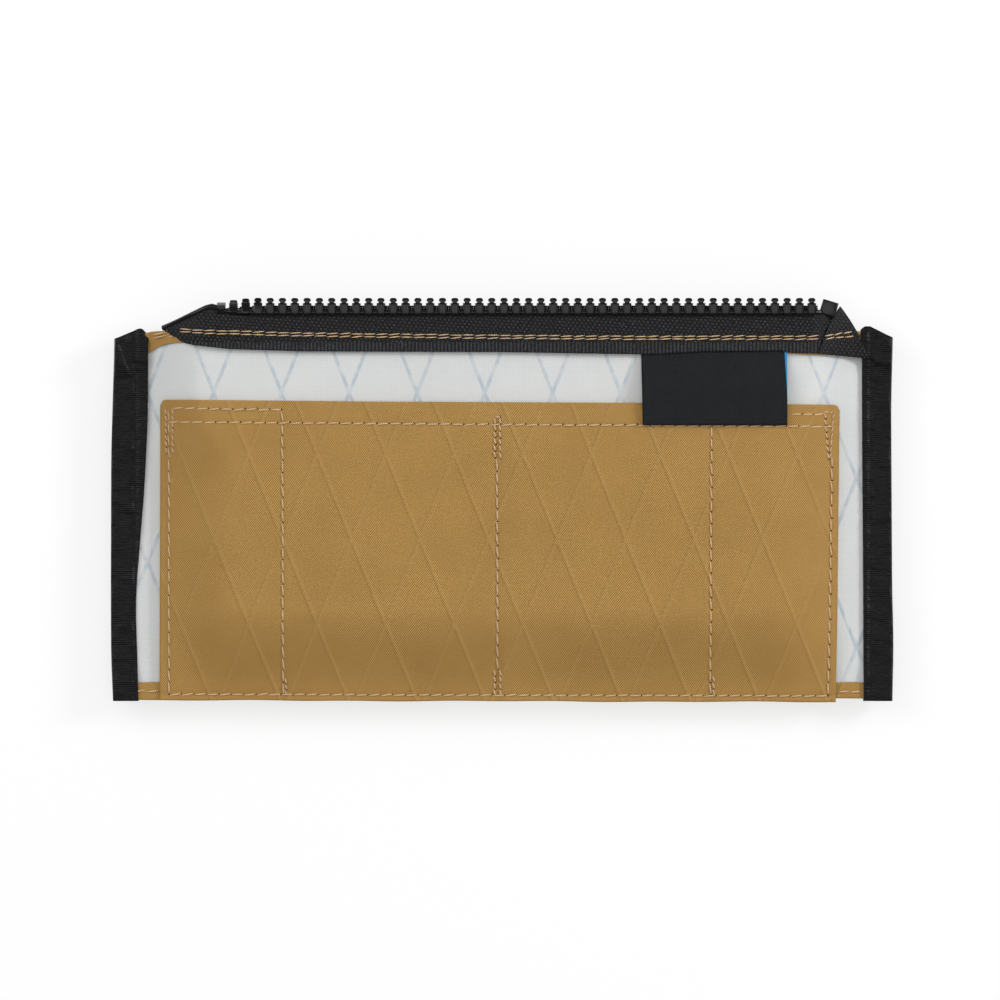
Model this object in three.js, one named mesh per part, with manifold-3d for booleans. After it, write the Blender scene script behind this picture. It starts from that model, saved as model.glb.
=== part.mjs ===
// A flat zip pocket case, turned inside out and lying open on its back wall.
// Millimetres. X runs along the zip, Y from the bottom seam to the mouth, Z up from the back wall.
import * as THREE from "three";
import { mergeVertices } from "three/addons/utils/BufferGeometryUtils.js";
import Module from "manifold-3d";

const wasm = await Module();
wasm.setup();

// Laminated sailcloth walls
const CLOTH = 0.4; // thickness of one layer
const LAYER_GAP = 0.3; // air between two sewn layers
const LEFT_SEAM_X = -92.7; // where the walls leave the left side seam
const RIGHT_SEAM_X = 94.2;
const FRONT_TOP_Y = 44.9; // fold of the front wall's top hem
const BACK_TOP_Y = 43.4; // the back wall has slid down a little
const BOTTOM_Y = -52.2; // fold of both bottom seam allowances
const HEM_DEPTH = 5.0;
const ALLOWANCE = 4.4; // bottom seam allowance, pressed open
const SEAM_HEIGHT = 6.0; // of the side and bottom seams above the surface it lies on
const FRONT_HEIGHT = 14.9; // middle of the front wall's cloth at the mouth
const SIDE_RISE = 24; // how far in from a side seam the walls reach their full height
const CORNER_RISE = 14; // the same, beside the mouth
const CORNER_START_Y = 2; // where the rise begins to shorten
const CORNER_END_Y = 30; // where it has reached CORNER_RISE
const BOTTOM_RISE = 24;

// Bindings folded over the side seam allowances
const LEFT_BINDING_WIDTH = 10.1;
const RIGHT_BINDING_WIDTH = 8.6;
const BINDING_TOP_Y = 45.1;
const BINDING_BOTTOM_Y = -52.6;
const BINDING_SLANT = 2.4; // its top end is cut lower at the outer edge
const BINDING_TAPE = 0.5;
const BINDING_FLARE = 5; // length over which it widens to take the hems

// Pocket panel on the front wall
const PANEL_LEFT_X = -89.3;
const PANEL_RIGHT_X = 88.3;
const PANEL_TOP_Y = 25.6;
const PANEL_BOTTOM_Y = -52.5;
const PANEL_HEM = 5.2;

// Folded woven label under the front tape
const LABEL_LEFT_X = 36.8;
const LABEL_RIGHT_X = 74.4;
const LABEL_BOTTOM_Y = 20.5;
const LABEL_CLOTH = 0.3;

// Zip: two tapes with moulded teeth
const TAPE = 0.5; // thickness
const TAPE_BELOW_FOLD = 5.8; // each tape's lower edge below its wall's top fold
const FREE_STRIP = 4.45; // from the wall's top fold to the cord in the tape's edge
const FRONT_TAPE_LEFT_X = -87.5;
const FRONT_TAPE_RIGHT_X = 89.2;
const FLAP_LEFT_X = 84.5; // folded end of the front tape
const FLAP_RIGHT_X = 92.6;
const FLAP_STEP = 2.5; // from its left end to its next section
const FLAP_CUT_STEP = 1.8; // from the tape's end to the middle of the flap's cut corner
const FLAP_DROP = 1.2; // it hangs this much lower than the tape's edge
const BACK_TAPE_LEFT_X = -84;
const BACK_TAPE_RIGHT_X = 84.4;
const TAPE_BEND = 0.9; // radius at which the back tape turns up
const HINGE_STEP = 1.2; // from the wall's fold to the next bend in the front tape
const ROLL_STEEP = 5.5; // how far from the front tape's left end it rolls back strongly
const ROLL_HALF = 8.7;
const ROLL_SLIGHT = 4; // and how far past the first tooth it rolls back a little
const ROLL_END = 13;
const TOOTH_PITCH = 3.22;
const FIRST_TOOTH_X = -73.5;
const ROW_MARGIN = 8.14; // front tape past its last tooth
const ROW_LENGTH = FRONT_TAPE_RIGHT_X - ROW_MARGIN - FIRST_TOOTH_X;
const FRONT_TEETH = Math.round(ROW_LENGTH / TOOTH_PITCH) + 1;
const BACK_TEETH = FRONT_TEETH - 1; // they stand between the front ones
const TOOTH_HEIGHT = 3.65; // from the cord's axis to the tip
const TOOTH_GRIP = 0.82; // from the cord's axis to the root, which holds the tape's edge
const TOOTH_THICKNESS = 2.4;
const TOOTH_ROOT = 2.3; // widths along the row
const TOOTH_NECK = 1.25;
const TOOTH_HEAD = 1.95;
const CORD_RADIUS = 0.7;
const CORD_MARGIN = 6.2; // bare front tape before its cord shows
const CORD_STEP = 2.5;
const CORD_LEAD = 1; // before the first tooth
const CORD_TAIL = 1.7; // past the last front tooth
const BACK_CORD_TAIL = 1.2;
const STOP_LENGTH = 3.7; // top and bottom stops, along the row
const BOTTOM_STOP_HEIGHT = 7.6;
const FRONT_STOP_SIZE = 4.2;
const FRONT_STOP_TILT = -17; // degrees

// Slider and pull
const SLIDER_X = -72; // middle of the slider with the zip fully open
const SLIDER_LENGTH = 13;
const SLIDER_PLATE = 0.9;
const SLIDER_LIP = 0.7; // height of the lips that hold the row
const SLIDER_SLOT = 1.1; // the tape runs in it
const SLIDER_REAR_CORNER = 1.6;
const DIAMOND_WIDTH = 1.3;
const DIAMOND_LENGTH = 5;
const MOVING_GAP = 0.3;
const BRIDGE_LENGTH = 7;
const BRIDGE_WIDTH = 1.6;
const BRIDGE_THICKNESS = 0.8;
const PULL_LENGTH = 13; // from the hinge to the tip
const PULL_THICKNESS = 1.1;
const PULL_GRIP_WIDTH = 5.4;
const PULL_EYE_WIDTH = 4.6;
const PULL_ARM = 0.95; // width of the eye's two sides
const PULL_EYE_LENGTH = 4.7;

const LAYER = CLOTH + LAYER_GAP;
const TAPE_LAYER = LAYER + CLOTH / 2 + LAYER_GAP + TAPE / 2;
const FOLD_RADIUS = LAYER / 2;
const TAPE_FLOOR = TAPE_LAYER + TAPE / 2; // the back wall's top stands on hem and tape

function material(color, roughness, metalness = 0) {
  return new THREE.MeshStandardMaterial({ color, roughness, metalness });
}

const LINING = material("#d3d5d2", 0.45);
const WOVEN = material("#a58148", 0.75);
const WEBBING = material("#222224", 0.7);
const LABEL_WEAVE = material("#1f282b", 0.8);
const TEETH = material("#26282a", 0.4);
const METAL = material("#2b2b2c", 0.4, 0.6);

function smoothStep(value) {
  const t = THREE.MathUtils.clamp(value, 0, 1);
  return t * t * (3 - 2 * t);
}

// 0 at the side and bottom seams, 1 where a wall has reached its full height.
function fullness(x, y) {
  const towardsMouth = smoothStep((y - CORNER_START_Y) / (CORNER_END_Y - CORNER_START_Y));
  const rise = THREE.MathUtils.lerp(SIDE_RISE, CORNER_RISE, towardsMouth);
  const fromSeam = Math.min(x - LEFT_SEAM_X, RIGHT_SEAM_X - x);
  return smoothStep(fromSeam / rise) * smoothStep((y - BOTTOM_Y) / BOTTOM_RISE);
}

const SEAM_OFFSET = (CLOTH + LAYER_GAP) / 2;

function frontHeight(x, y) {
  const seam = SEAM_HEIGHT + SEAM_OFFSET;
  return THREE.MathUtils.lerp(seam, FRONT_HEIGHT, fullness(x, y));
}

const BACK_LIFT_LENGTH = 14; // over which the back wall climbs onto its hem and tape

function backHeight(x, y) {
  const hemEdge = BACK_TOP_Y - TAPE_BELOW_FOLD;
  const lift = smoothStep((y - hemEdge + BACK_LIFT_LENGTH) / (BACK_LIFT_LENGTH - 1));
  const floor = CLOTH / 2 + (TAPE_FLOOR - CLOTH / 2) * lift;
  return THREE.MathUtils.lerp(SEAM_HEIGHT - SEAM_OFFSET, floor, fullness(x, y));
}

function geometryFrom(positions, index) {
  const geometry = new THREE.BufferGeometry();
  geometry.setAttribute("position", new THREE.Float32BufferAttribute(positions, 3));
  geometry.setIndex(index);
  return geometry;
}

function enclosedVolume(geometry) {
  const position = geometry.getAttribute("position");
  const index = geometry.getIndex();
  const [a, b, c] = [new THREE.Vector3(), new THREE.Vector3(), new THREE.Vector3()];
  let volume = 0;
  for (let i = 0; i < index.count; i += 3) {
    a.fromBufferAttribute(position, index.getX(i));
    b.fromBufferAttribute(position, index.getX(i + 1));
    c.fromBufferAttribute(position, index.getX(i + 2));
    volume += a.dot(b.cross(c)) / 6;
  }
  return volume;
}

// Joins equal rings of points into one closed solid. The outline gives the rings' flat form.
function loft(rings, outline) {
  const count = outline.length;
  const positions = rings.flat().flatMap((point) => [point.x, point.y, point.z]);
  const index = [];
  for (let ring = 0; ring + 1 < rings.length; ring++) {
    for (let i = 0; i < count; i++) {
      const a = ring * count + i;
      const b = ring * count + ((i + 1) % count);
      index.push(a, b, b + count, a, b + count, a + count);
    }
  }
  const last = (rings.length - 1) * count;
  for (const [a, b, c] of THREE.ShapeUtils.triangulateShape(outline, [])) {
    index.push(a, c, b, last + a, last + b, last + c);
  }
  const geometry = geometryFrom(positions, index);
  if (enclosedVolume(geometry) < 0) geometry.setIndex([...index].reverse());
  return geometry;
}

// Closed outline of a strip of cloth that follows a path of Vector2.
function stripOutline(path, thickness) {
  const sides = path.map((point, i) => {
    const before = i > 0 ? point.clone().sub(path[i - 1]).normalize() : null;
    const after = i + 1 < path.length ? path[i + 1].clone().sub(point).normalize() : null;
    const along = (before ?? after).clone().add(after ?? before).normalize();
    const stretch = along.dot(before ?? after);
    return new THREE.Vector2(-along.y, along.x).multiplyScalar(thickness / 2 / stretch);
  });
  const left = path.map((point, i) => point.clone().add(sides[i]));
  const right = path.map((point, i) => point.clone().sub(sides[i]));
  const outline = [...left, ...right.reverse()];
  return THREE.ShapeUtils.isClockWise(outline) ? outline.reverse() : outline;
}

function arc(centreX, centreY, radius, from, to, steps) {
  return Array.from({ length: steps + 1 }, (unused, i) => {
    const angle = THREE.MathUtils.degToRad(THREE.MathUtils.lerp(from, to, i / steps));
    return new THREE.Vector2(centreX + radius * Math.cos(angle), centreY + radius * Math.sin(angle));
  });
}

// Stations along X, closer where the walls curve up from the side seams.
function stations(fromX, toX) {
  const inward = [0, 2.5, 5, 7.5, 10, 12.5, 15, 19, SIDE_RISE, 38];
  const all = [
    fromX,
    ...inward.map((distance) => LEFT_SEAM_X + distance),
    -24,
    0,
    24,
    ...inward.map((distance) => RIGHT_SEAM_X - distance).reverse(),
    toX,
  ];
  return all.filter((x, i) => x >= fromX && x <= toX && (i === 0 || x > all[i - 1] + 0.4));
}

// Levels along Y, closer where the walls curve up from the bottom seam.
function levels(fromY, toY) {
  const all = [fromY, -49, -46, -42, -38, -33, BOTTOM_Y + BOTTOM_RISE, -14, 2, 9, 16, 23, 29, 34, toY];
  return all.filter((y) => y >= fromY && y <= toY);
}

// A wall with its bottom allowance and its top hem folded to the outside, which is side 1 or -1.
function wallPath(topY, side) {
  const bottom = BOTTOM_Y + FOLD_RADIUS + CLOTH / 2;
  const top = topY - FOLD_RADIUS - CLOTH / 2;
  const run = levels(bottom, top).slice(1, -1).map((y) => new THREE.Vector2(y, 0));
  const hem = [39.4, 41.6].filter((y) => y < top).map((y) => new THREE.Vector2(y, LAYER));
  const path = [
    new THREE.Vector2(BOTTOM_Y + ALLOWANCE, LAYER),
    ...arc(bottom, FOLD_RADIUS, FOLD_RADIUS, 90, 270, 4),
    ...run,
    ...arc(top, FOLD_RADIUS, FOLD_RADIUS, -90, 90, 4),
    ...hem.filter((point) => point.x > topY - HEM_DEPTH).reverse(),
    new THREE.Vector2(topY - HEM_DEPTH, LAYER),
  ];
  return path.map((point) => new THREE.Vector2(point.x, point.y * side));
}

// Cloth that follows a wall: the path gives (y, height above that wall's middle).
function sewnSheet(path, thickness, alongX, height) {
  const outline = stripOutline(path, thickness);
  const rings = alongX.map((x) => outline.map((p) => new THREE.Vector3(x, p.x, height(x, p.x) + p.y)));
  return loft(rings, outline);
}

function mesh(name, geometry, finish) {
  const made = new THREE.Mesh(geometry, finish);
  made.name = name;
  return made;
}

const FLANGE_LEFT_X = LEFT_SEAM_X - LEFT_BINDING_WIDTH + BINDING_TAPE + LAYER_GAP;
const FLANGE_RIGHT_X = RIGHT_SEAM_X + RIGHT_BINDING_WIDTH - BINDING_TAPE - LAYER_GAP;

function frontWall() {
  const alongX = stations(FLANGE_LEFT_X, FLANGE_RIGHT_X);
  return mesh("front_wall", sewnSheet(wallPath(FRONT_TOP_Y, 1), CLOTH, alongX, frontHeight), LINING);
}

function backWall() {
  const alongX = stations(FLANGE_LEFT_X, FLANGE_RIGHT_X);
  return mesh("back_wall", sewnSheet(wallPath(BACK_TOP_Y, -1), CLOTH, alongX, backHeight), LINING);
}

// The panel lies over the bottom allowance, and its top hem is turned under.
function pocketPanel() {
  const above = 2 * LAYER;
  const top = PANEL_TOP_Y - FOLD_RADIUS - CLOTH / 2;
  const run = levels(PANEL_BOTTOM_Y, top).slice(0, -1).map((y) => new THREE.Vector2(y, above));
  const path = [
    ...run,
    ...arc(top, above - FOLD_RADIUS, FOLD_RADIUS, 90, -90, 4),
    new THREE.Vector2(PANEL_TOP_Y - PANEL_HEM, LAYER),
  ];
  const alongX = stations(PANEL_LEFT_X, PANEL_RIGHT_X);
  return mesh("pocket_panel", sewnSheet(path, CLOTH, alongX, frontHeight), WOVEN);
}

// A loop of label tape, sewn in at its top and hanging over the panel's edge.
function wovenLabel() {
  const tapeEdge = FRONT_TOP_Y - TAPE_BELOW_FOLD;
  const overPanel = 2 * LAYER + CLOTH / 2 + LAYER_GAP + LABEL_CLOTH / 2;
  const radius = 0.3;
  const bottom = LABEL_BOTTOM_Y + radius + LABEL_CLOTH / 2;
  const path = [
    new THREE.Vector2(tapeEdge - 0.4, LAYER),
    new THREE.Vector2(tapeEdge - 3, LAYER),
    new THREE.Vector2(PANEL_TOP_Y + 3.5, LAYER + 0.5),
    new THREE.Vector2(PANEL_TOP_Y + 1, overPanel),
    ...arc(bottom, overPanel + radius, radius, 270, 90, 4),
    new THREE.Vector2(PANEL_TOP_Y + 1, overPanel + 2 * radius),
    new THREE.Vector2(tapeEdge - 5, overPanel + 0.3),
    new THREE.Vector2(tapeEdge - LAYER_GAP, TAPE_LAYER),
  ];
  const alongX = [LABEL_LEFT_X, LABEL_RIGHT_X];
  return mesh("woven_label", sewnSheet(path, LABEL_CLOTH, alongX, frontHeight), LABEL_WEAVE);
}

// Binding tape folded round the seam allowances, wider where hems and allowances thicken them.
function binding(name, seamX, width, side) {
  const inner = seamX - side * 0.1;
  const outer = seamX + side * width;
  const thinGap = SEAM_OFFSET + CLOTH / 2 + LAYER_GAP;
  const thickGap = thinGap + LAYER;
  const hemStart = Math.min(FRONT_TOP_Y, BACK_TOP_Y) - HEM_DEPTH - 0.6;
  const allowanceEnd = BOTTOM_Y + ALLOWANCE + 0.6;
  const alongY = [
    BINDING_BOTTOM_Y,
    allowanceEnd,
    allowanceEnd + BINDING_FLARE,
    -20,
    10,
    hemStart - BINDING_FLARE,
    hemStart,
    BINDING_TOP_Y,
  ];
  const rings = alongY.map((y) => {
    const towardsHem = smoothStep((y - hemStart + BINDING_FLARE) / BINDING_FLARE);
    const towardsAllowance = smoothStep((allowanceEnd + BINDING_FLARE - y) / BINDING_FLARE);
    const gap = THREE.MathUtils.lerp(thinGap, thickGap, Math.max(towardsHem, towardsAllowance));
    const outside = gap + BINDING_TAPE;
    const section = [
      [inner, outside],
      [outer - side * 0.5, outside],
      [outer, outside - 0.5],
      [outer, 0.5 - outside],
      [outer - side * 0.5, -outside],
      [inner, -outside],
      [inner, -gap],
      [outer - side * BINDING_TAPE, -gap],
      [outer - side * BINDING_TAPE, gap],
      [inner, gap],
    ];
    return section.map(([x, z]) => {
      const slant = y === BINDING_TOP_Y ? (BINDING_SLANT * Math.abs(x - seamX)) / width : 0;
      return new THREE.Vector3(x, y - slant, SEAM_HEIGHT + z);
    });
  });
  const flat = rings[0].map((point) => new THREE.Vector2(point.x, point.z));
  if (THREE.ShapeUtils.isClockWise(flat)) {
    flat.reverse();
    rings.forEach((ring) => ring.reverse());
  }
  return mesh(name, loft(rings, flat), WEBBING);
}

function solidFrom(geometry) {
  const bare = geometry.clone();
  bare.deleteAttribute("normal");
  bare.deleteAttribute("uv");
  const merged = mergeVertices(bare, 1e-4);
  return new wasm.Manifold(
    new wasm.Mesh({
      numProp: 3,
      vertProperties: merged.getAttribute("position").array,
      triVerts: new Uint32Array(merged.getIndex().array),
    }),
  );
}

function geometryOf(solid) {
  const result = solid.getMesh();
  return geometryFrom([...result.vertProperties], [...result.triVerts]);
}

function union(geometries) {
  const [first, ...rest] = geometries.map(solidFrom);
  return geometryOf(rest.reduce((whole, piece) => whole.add(piece), first));
}

// Value at x on a line through (x, value) knots.
function along(knots, x) {
  if (x <= knots[0][0]) return knots[0][1];
  for (let i = 1; i < knots.length; i++) {
    const [x0, v0] = knots[i - 1];
    const [x1, v1] = knots[i];
    if (x <= x1) return THREE.MathUtils.lerp(v0, v1, (x - x0) / (x1 - x0));
  }
  return knots[knots.length - 1][1];
}

// The front tape's free strip rolls back towards the slider at its left end, in degrees.
const TAPE_ROLL = [
  [FRONT_TAPE_LEFT_X, 66],
  [FRONT_TAPE_LEFT_X + ROLL_STEEP, 42],
  [FRONT_TAPE_LEFT_X + ROLL_HALF, 12],
  [FIRST_TOOTH_X + ROLL_SLIGHT, 10],
  [FIRST_TOOTH_X + ROLL_END, 0],
];
// Its first teeth turn back further.
const TOOTH_ROLL = [
  [FIRST_TOOTH_X, 32],
  [FIRST_TOOTH_X + TOOTH_PITCH, 24],
  [FIRST_TOOTH_X + 2 * TOOTH_PITCH, 14],
  [FIRST_TOOTH_X + 3 * TOOTH_PITCH, 6],
  [FIRST_TOOTH_X + 4 * TOOTH_PITCH, 0],
];

const FRONT_HINGE_Y = FRONT_TOP_Y + LAYER_GAP;
const FRONT_CORD_Y = FRONT_TOP_Y + FREE_STRIP;

// A point of the front tape, across its width at y and off its middle by offset.
function onFrontTape(x, y, offset) {
  const beyond = y - FRONT_HINGE_Y;
  const base = frontHeight(x, Math.min(y, FRONT_HINGE_Y)) + TAPE_LAYER;
  if (beyond <= 0) return new THREE.Vector3(x, y, base + offset);
  const roll = THREE.MathUtils.degToRad(along(TAPE_ROLL, x));
  const up = beyond * Math.cos(roll) + offset * Math.sin(roll);
  const back = beyond * Math.sin(roll) - offset * Math.cos(roll);
  return new THREE.Vector3(x, FRONT_HINGE_Y + up, base - back);
}

function frontTape() {
  const lower = FRONT_TOP_Y - TAPE_BELOW_FOLD;
  const upper = FRONT_CORD_Y - TOOTH_GRIP - LAYER_GAP;
  const path = [lower, FRONT_HINGE_Y, FRONT_HINGE_Y + HINGE_STEP, upper].map((y) => new THREE.Vector2(y, 0));
  const outline = stripOutline(path, TAPE);
  const alongX = stations(FRONT_TAPE_LEFT_X, FRONT_TAPE_RIGHT_X);
  const rings = alongX.map((x) => outline.map((p) => onFrontTape(x, p.x, p.y)));
  const strip = loft(rings, outline);

  // The right end is folded forwards and hangs in front of the strip.
  const flapOutline = [
    new THREE.Vector2(lower - FLAP_DROP, TAPE / 2 - 0.05),
    new THREE.Vector2(upper, TAPE / 2 - 0.05),
    new THREE.Vector2(upper, TAPE * 1.5),
    new THREE.Vector2(lower - FLAP_DROP, TAPE * 1.5),
  ];
  const flapX = [
    FLAP_LEFT_X,
    FLAP_LEFT_X + FLAP_STEP,
    FRONT_TAPE_RIGHT_X,
    FRONT_TAPE_RIGHT_X + FLAP_CUT_STEP,
    FLAP_RIGHT_X,
  ];
  const flapRings = flapX.map((x) =>
    flapOutline.map((p) => {
      const cut = Math.max(0, x - FRONT_TAPE_RIGHT_X) * 2.2;
      const y = p.x === upper ? upper - cut : p.x;
      return onFrontTape(x, y, p.y);
    }),
  );
  return mesh("front_zipper_tape", union([strip, loft(flapRings, flapOutline)]), WEBBING);
}

// The back tape runs out past its hem, turns up and carries its row on edge.
const SLIDER_HALF_THICKNESS = TOOTH_THICKNESS / 2 + MOVING_GAP + SLIDER_PLATE;
const ROW_Y = BACK_TOP_Y + 0.5 + SLIDER_HALF_THICKNESS;
const LIP_Z = TAPE + TAPE_BEND;
const BACK_CORD_Z = LIP_Z + SLIDER_LIP + MOVING_GAP + TOOTH_GRIP;
const ROW_TIP_Z = BACK_CORD_Z + TOOTH_HEIGHT;
const SLIDER_Z = ROW_TIP_Z + MOVING_GAP + DIAMOND_WIDTH / 2;
const SLIDER_HALF_WIDTH = SLIDER_Z - LIP_Z;
const SLIDER_REAR_X = SLIDER_X - SLIDER_LENGTH / 2;

// How far the back tape's ends ride up with the wall beside the side seams.
function backLift(x) {
  return backHeight(x, BACK_TOP_Y) - TAPE_FLOOR;
}

function backTape() {
  const lower = BACK_TOP_Y - TAPE_BELOW_FOLD;
  const middle = TAPE / 2;
  const path = [
    new THREE.Vector2(lower, middle),
    new THREE.Vector2(BACK_TOP_Y, middle),
    ...arc(ROW_Y - TAPE_BEND, middle + TAPE_BEND, TAPE_BEND, -90, 0, 4),
    new THREE.Vector2(ROW_Y, BACK_CORD_Z - TOOTH_GRIP - LAYER_GAP),
  ];
  const outline = stripOutline(path, TAPE);
  const alongX = stations(BACK_TAPE_LEFT_X, BACK_TAPE_RIGHT_X);
  const rings = alongX.map((x) => outline.map((p) => new THREE.Vector3(x, p.x, p.y + backLift(x))));
  return mesh("back_zipper_tape", loft(rings, outline), WEBBING);
}

// One moulded tooth: wide where it grips the cord, a neck, and a wider head.
function tooth(position, outwards) {
  const shape = new THREE.Shape([
    new THREE.Vector2(-TOOTH_ROOT / 2, -TOOTH_GRIP),
    new THREE.Vector2(TOOTH_ROOT / 2, -TOOTH_GRIP),
    new THREE.Vector2(TOOTH_NECK / 2, TOOTH_HEIGHT * 0.5),
    new THREE.Vector2(TOOTH_HEAD / 2, TOOTH_HEIGHT * 0.76),
    new THREE.Vector2(TOOTH_NECK / 2, TOOTH_HEIGHT),
    new THREE.Vector2(-TOOTH_NECK / 2, TOOTH_HEIGHT),
    new THREE.Vector2(-TOOTH_HEAD / 2, TOOTH_HEIGHT * 0.76),
    new THREE.Vector2(-TOOTH_NECK / 2, TOOTH_HEIGHT * 0.5),
  ]);
  const geometry = new THREE.ExtrudeGeometry(shape, { depth: TOOTH_THICKNESS, bevelEnabled: false });
  geometry.translate(0, 0, -TOOTH_THICKNESS / 2);
  const across = new THREE.Vector3(1, 0, 0);
  const through = across.clone().cross(outwards);
  const place = new THREE.Matrix4().makeBasis(across, outwards, through).setPosition(position);
  return geometry.applyMatrix4(place);
}

function cord(alongX, centreAt) {
  const section = arc(0, 0, CORD_RADIUS, 0, 360, 6).slice(0, 6);
  const rings = alongX.map((x) => {
    const centre = centreAt(x);
    return section.map((p) => new THREE.Vector3(x, centre.y + p.x, centre.z + p.y));
  });
  return loft(rings, section);
}

const FRONT_ROW_END_X = FIRST_TOOTH_X + (FRONT_TEETH - 1) * TOOTH_PITCH + CORD_TAIL;

function frontRow() {
  const centreAt = (x) => onFrontTape(x, FRONT_CORD_Y, 0);
  const start = FRONT_TAPE_LEFT_X + CORD_MARGIN;
  const alongX = [start, start + CORD_STEP, FIRST_TOOTH_X - CORD_LEAD, FIRST_TOOTH_X + ROLL_SLIGHT];
  for (let i = 4; i < FRONT_TEETH; i += 4) alongX.push(FIRST_TOOTH_X + i * TOOTH_PITCH);
  alongX.push(FRONT_ROW_END_X);
  const pieces = [cord(alongX, centreAt)];
  for (let i = 0; i < FRONT_TEETH; i++) {
    const x = FIRST_TOOTH_X + i * TOOTH_PITCH;
    const roll = THREE.MathUtils.degToRad(along(TOOTH_ROLL, x));
    pieces.push(tooth(centreAt(x), new THREE.Vector3(0, Math.cos(roll), -Math.sin(roll))));
  }
  return mesh("front_tooth_row", union(pieces), TEETH);
}

const FIRST_BACK_TOOTH_X = FIRST_TOOTH_X + TOOTH_PITCH / 2;
const BACK_ROW_END_X = FIRST_BACK_TOOTH_X + (BACK_TEETH - 1) * TOOTH_PITCH + BACK_CORD_TAIL;

function backRow() {
  const centreAt = () => new THREE.Vector3(0, ROW_Y, BACK_CORD_Z);
  const pieces = [cord([SLIDER_REAR_X - 0.1, BACK_ROW_END_X], centreAt)];
  for (let i = 0; i < BACK_TEETH; i++) {
    const position = centreAt().setX(FIRST_BACK_TOOTH_X + i * TOOTH_PITCH);
    pieces.push(tooth(position, new THREE.Vector3(0, 0, 1)));
  }
  return mesh("back_tooth_row", union(pieces), TEETH);
}

// A block with bevelled edges, centred on the origin.
function roundedBlock(length, depth, height) {
  const bevel = 0.35;
  const shape = new THREE.Shape([
    new THREE.Vector2(-length / 2 + bevel, -depth / 2 + bevel),
    new THREE.Vector2(length / 2 - bevel, -depth / 2 + bevel),
    new THREE.Vector2(length / 2 - bevel, depth / 2 - bevel),
    new THREE.Vector2(-length / 2 + bevel, depth / 2 - bevel),
  ]);
  const settings = { depth: height - 2 * bevel, bevelThickness: bevel, bevelSize: bevel, bevelSegments: 2 };
  const geometry = new THREE.ExtrudeGeometry(shape, settings);
  geometry.translate(0, 0, bevel - height / 2);
  return geometry;
}

function frontTopStop() {
  const block = mesh("front_top_stop", roundedBlock(FRONT_STOP_SIZE, FRONT_STOP_SIZE * 0.93, 2.8), TEETH);
  const reach = FRONT_STOP_SIZE * 0.64 + LAYER_GAP;
  const above = FRONT_CORD_Y + 1.85;
  const height = frontHeight(FRONT_ROW_END_X + reach, FRONT_HINGE_Y) + TAPE_LAYER;
  block.position.set(FRONT_ROW_END_X + reach, above, height);
  block.rotation.z = THREE.MathUtils.degToRad(FRONT_STOP_TILT);
  return block;
}

function backTopStop() {
  const height = CORD_RADIUS + TOOTH_HEIGHT;
  const block = mesh("back_top_stop", roundedBlock(STOP_LENGTH, 2.6, height), TEETH);
  const bottom = BACK_CORD_Z - CORD_RADIUS + backLift(BACK_TAPE_RIGHT_X);
  block.position.set(BACK_ROW_END_X + MOVING_GAP + STOP_LENGTH / 2, ROW_Y, bottom + height / 2);
  return block;
}

function bottomStop() {
  const block = mesh("bottom_stop", roundedBlock(STOP_LENGTH, 2.6, BOTTOM_STOP_HEIGHT), TEETH);
  const bottom = BACK_CORD_Z - CORD_RADIUS + 0.5;
  block.position.set(SLIDER_REAR_X - 0.4 - STOP_LENGTH / 2, ROW_Y, bottom + BOTTOM_STOP_HEIGHT / 2);
  return block;
}

// Turns a shape drawn in (x, z) and extruded by depth so that it is centred on y = 0.
function uprightExtrusion(shape, depth) {
  const geometry = new THREE.ExtrudeGeometry(shape, { depth, bevelEnabled: false });
  geometry.translate(0, 0, -depth / 2);
  geometry.rotateX(Math.PI / 2);
  return geometry;
}

function block(x0, x1, y0, y1, z0, z1) {
  const geometry = new THREE.BoxGeometry(x1 - x0, y1 - y0, z1 - z0);
  return geometry.translate((x0 + x1) / 2, (y0 + y1) / 2, (z0 + z1) / 2);
}

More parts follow.
